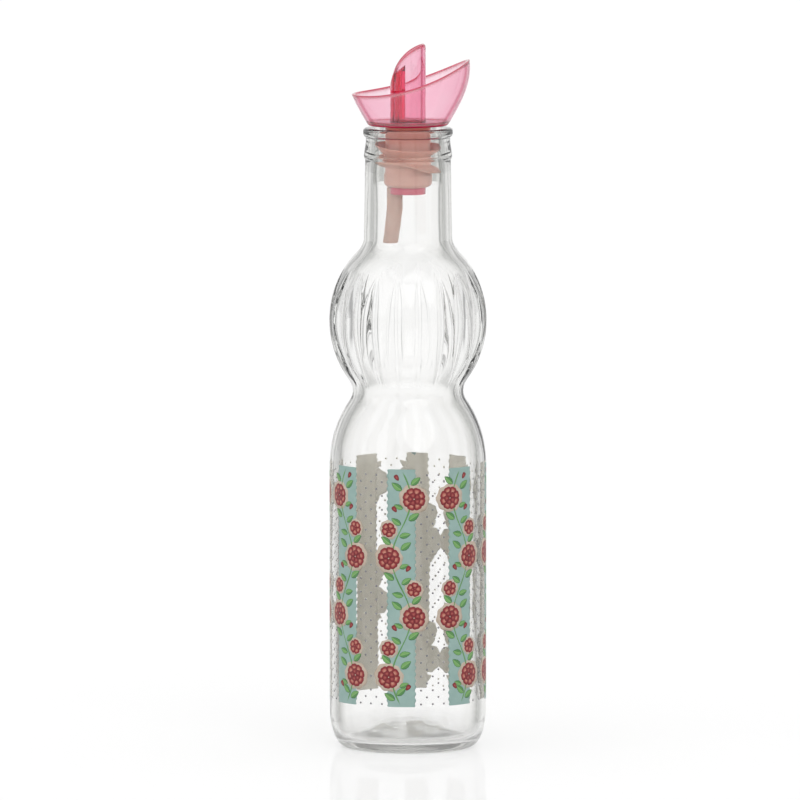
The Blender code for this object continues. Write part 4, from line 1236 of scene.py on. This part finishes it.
def make_print():
    """Every ink of the print, each a set of thin patches that show plain backing on the glass side."""
    backing = ink_material("ink_backing", BACKING, slow_mottle)
    red = ink_material("red_ink", RED, edge_share)
    deep_red = ink_material("deep_red_ink", DEEP_RED, edge_share)
    buds = shape_mesh("printed_buds", vine_points(BUDS), petal_outline(1.0, BUD_WIDTH), PETAL_RADII, 4)
    inks = (
        (stripe_mesh(), ink_material("sage_ink", SAGE, slow_mottle)),
        (dot_mesh(), ink_material("grey_ink", GREY, slow_mottle)),
        (underlay_mesh(), ink_material("sand_ink", SAND, slow_mottle)),
        (vine_mesh(), ink_material("stem_green_ink", STEM_GREEN, slow_mottle)),
        (leaf_mesh(), ink_material("leaf_green_ink", GREEN, leaf_share)),
        (petal_mesh("printed_outer_petals", BLOSSOMS, 8, 0.18, 1.0, 0.34, PETAL_RADII, 0.0), red),
        (petal_mesh("printed_inner_petals", BLOSSOMS, 5, 0.05, 0.58, 0.25, HEART_RADII, 0.35), deep_red),
        (petal_mesh("printed_small_petals", SMALL_BLOSSOMS, 5, 0.06, 1.0, 0.46, PETAL_RADII, 0.0), red),
        (petal_mesh("printed_small_hearts", SMALL_BLOSSOMS, 3, 0.0, 0.42, 0.20, HEART_RADII, 0.5), deep_red),
        (buds, deep_red),
    )
    for mesh, ink in inks:
        place_piece(mesh.name, mesh, [ink, backing], "bottle_body", "printed_ink")


def make_stopper():
    """The soft sleeve, the pink moulding and the tube that rides with it."""
    # The sleeve's colour up its height is painted light and shade
    sleeve = beige_material("soft_sleeve", SLEEVE_BEIGE_PAINTED_LIGHT, 0.1985, 0.2110)
    tube = beige_material("soft_tube", TUBE_BEIGE, 0.1742, 0.1928)
    place_piece("sleeve", sleeve_mesh(), [sleeve], "stopper_body", "soft_beige_plastic", "stopper_sleeve")
    place_piece("cup_and_spout", pourer_mesh(), [pink_material()], "pourer_body", "clear_pink_plastic",
                "pourer")
    place_piece("tube", tube_mesh(), [tube], "pourer_body", "soft_beige_plastic", "breather_tube")


# Studio

CAMERA_PLACE = Vector((-0.00275, -4.0, 0.545))
CAMERA_TARGET = Vector((-0.00275, 0.0, 0.1201))
CAMERA_LENS = 524.6
FLOOR_SIZE = 12.0
WORLD_LIGHT = 0.86
INSIDE_LIGHT = 2.4
FLOOR_SHADE = 0.50
FLOOR_GLOW = 0.56
FLOOR_MIRROR = 0.18
FLOOR_CLEAR = (0.3, 0.6)
DARK_EDGES = 8
DARK_EDGE_DEPTH = 0.55
DARK_EDGE_WIDTH = -0.86
DARK_EDGE_TOP = (0.30, 0.60)
OVERHEAD = (0.35, 0.85)
OVERHEAD_LIGHT = 0.85
THROWN_DIM = 0.15


def multiply(tree, first, *others):
    """A product of several values."""
    for value in others:
        first = add_math(tree, "MULTIPLY", first, value)
    return first


def dark_edges(tree, split):
    """How dark each direction round the bottle is: narrow bands half way between the main ones."""
    azimuth = add_math(tree, "ARCTAN2", split["X"], split["Y"])
    wave = add_math(tree, "COSINE", multiply(tree, azimuth, float(DARK_EDGES)))
    return add_range(tree, wave, -1.0, DARK_EDGE_WIDTH, DARK_EDGE_DEPTH, 0.0)


def look_path(tree):
    """What kind of look is being followed: its light path, whether it goes off or through something clear,
    and how much brighter it finds the studio, which is more once it has left a matt surface."""
    path = add_node(tree, "ShaderNodeLightPath").outputs
    bent = add_math(tree, "MAXIMUM", path["Is Glossy Ray"], path["Is Transmission Ray"])
    inside = add_math(tree, "MINIMUM", path["Diffuse Depth"], 1.0)
    return path, bent, add_math(tree, "MULTIPLY_ADD", inside, INSIDE_LIGHT - 1.0, 1.0)


def make_world():
    """White all round for the camera and through the glass, with eight narrow upright dark edges between
    the main directions, and an even pale light on everything else."""
    world = bpy.data.worlds.new("studio")
    bpy.context.scene.world = world
    world.use_nodes = True
    tree = world.node_tree
    path, bent, lifted = look_path(tree)
    split = split_place(tree, add_node(tree, "ShaderNodeTexCoord").outputs["Generated"])
    overhead = add_range(tree, split["Z"], *OVERHEAD, 1.0, OVERHEAD_LIGHT)
    low = add_range(tree, split["Z"], *DARK_EDGE_TOP, 1.0, 0.0)
    light = add_math(tree, "SUBTRACT", 1.0, multiply(tree, dark_edges(tree, split), low))
    thrown = multiply(tree, add_math(tree, "MINIMUM", path["Glossy Depth"], 1.0),
                      add_math(tree, "MINIMUM", path["Transmission Depth"], 1.0))
    dimmed = add_math(tree, "SUBTRACT", 1.0, multiply(tree, thrown, THROWN_DIM))
    through = multiply(tree, overhead, dimmed, light, lifted)
    strength = WORLD_LIGHT
    for factor, seen in ((bent, through), (path["Is Camera Ray"], 1.0)):
        strength = add_node(tree, "ShaderNodeMix", {"Factor": factor, 2: strength, 3: seen},
                            data_type="FLOAT").outputs[0]
    background = tree.nodes["Background"].inputs
    tree.links.new(strength, background["Strength"])
    background["Color"].default_value = (1.0, 1.0, 1.0, 1.0)


def make_floor():
    """A pale glossy floor that reads as white, keeps a soft shadow and mirrors a little of the bottle. Bent
    looks see the world's dark edges go on over it from some way off."""
    half = FLOOR_SIZE / 2
    mesh = bpy.data.meshes.new("floor")
    mesh.from_pydata([(-half, -half, 0), (half, -half, 0), (half, half, 0), (-half, half, 0)], [],
                     [(0, 1, 2, 3)])
    floor = new_object("floor", mesh)
    material = bpy.data.materials.new("white_acrylic")
    material.use_nodes = True
    tree = material.node_tree
    path, bent, lifted = look_path(tree)
    seen = add_math(tree, "MAXIMUM", path["Is Camera Ray"], bent)
    split = split_place(tree, object_place(tree))
    away = add_math(tree, "ADD", add_math(tree, "POWER", split["X"], 2.0),
                    add_math(tree, "POWER", split["Y"], 2.0))
    far = add_range(tree, away, FLOOR_CLEAR[0] ** 2, FLOOR_CLEAR[1] ** 2, 0.0, 1.0)
    glow = add_node(tree, "ShaderNodeEmission", {"Strength": multiply(tree, lifted, FLOOR_GLOW, seen)})
    matt = add_node(tree, "ShaderNodeBsdfDiffuse", {"Color": (FLOOR_SHADE, FLOOR_SHADE, FLOOR_SHADE, 1.0)})
    both = add_node(tree, "ShaderNodeAddShader", {0: matt.outputs[0], 1: glow.outputs[0]})
    mirror = add_node(tree, "ShaderNodeBsdfAnisotropic", {"Roughness": 0.05})
    dark = add_node(tree, "ShaderNodeBsdfDiffuse", {"Color": (0.0, 0.0, 0.0, 1.0)})
    shader = both
    for factor, other in ((FLOOR_MIRROR, mirror), (multiply(tree, far, bent, dark_edges(tree, split)), dark)):
        shader = add_node(tree, "ShaderNodeMixShader", {"Fac": factor, 1: shader.outputs[0],
                                                        2: other.outputs[0]})
    tree.links.new(shader.outputs[0], tree.nodes["Material Output"].inputs["Surface"])
    mesh.materials.append(material)


def add_sun(name, azimuth, elevation, angle, strength):
    """A soft distant lamp; azimuth 0 is over the camera, positive to its right."""
    lamp = bpy.data.lights.new(name, "SUN")
    lamp.energy = strength
    lamp.angle = math.radians(angle)
    azimuth, elevation = math.radians(azimuth), math.radians(elevation)
    flat = math.cos(elevation)
    towards = Vector((flat * math.sin(azimuth), -flat * math.cos(azimuth), math.sin(elevation)))
    new_object(name, lamp).rotation_euler = towards.to_track_quat("Z", "Y").to_euler()


def make_camera():
    """A long lens from far in front, a little over the bottle, as in the photograph."""
    data = bpy.data.cameras.new("camera")
    data.sensor_width = 36.0
    data.lens = CAMERA_LENS
    data.clip_end = 50.0
    camera = new_object("camera", data)
    camera.location = CAMERA_PLACE
    camera.rotation_euler = (CAMERA_TARGET - CAMERA_PLACE).to_track_quat("-Z", "Y").to_euler()
    bpy.context.scene.camera = camera


bpy.context.scene.view_settings.view_transform = "Standard"
make_world()
make_floor()
add_sun("key_light", 20.0, 38.0, 50.0, 0.45)
add_sun("fill_light", -55.0, 30.0, 60.0, 0.30)
make_camera()
place_piece("glass_bottle", glass_mesh(), [glass_material()], "bottle_body", "clear_glass", "bottle_glass")
make_print()
make_stopper()
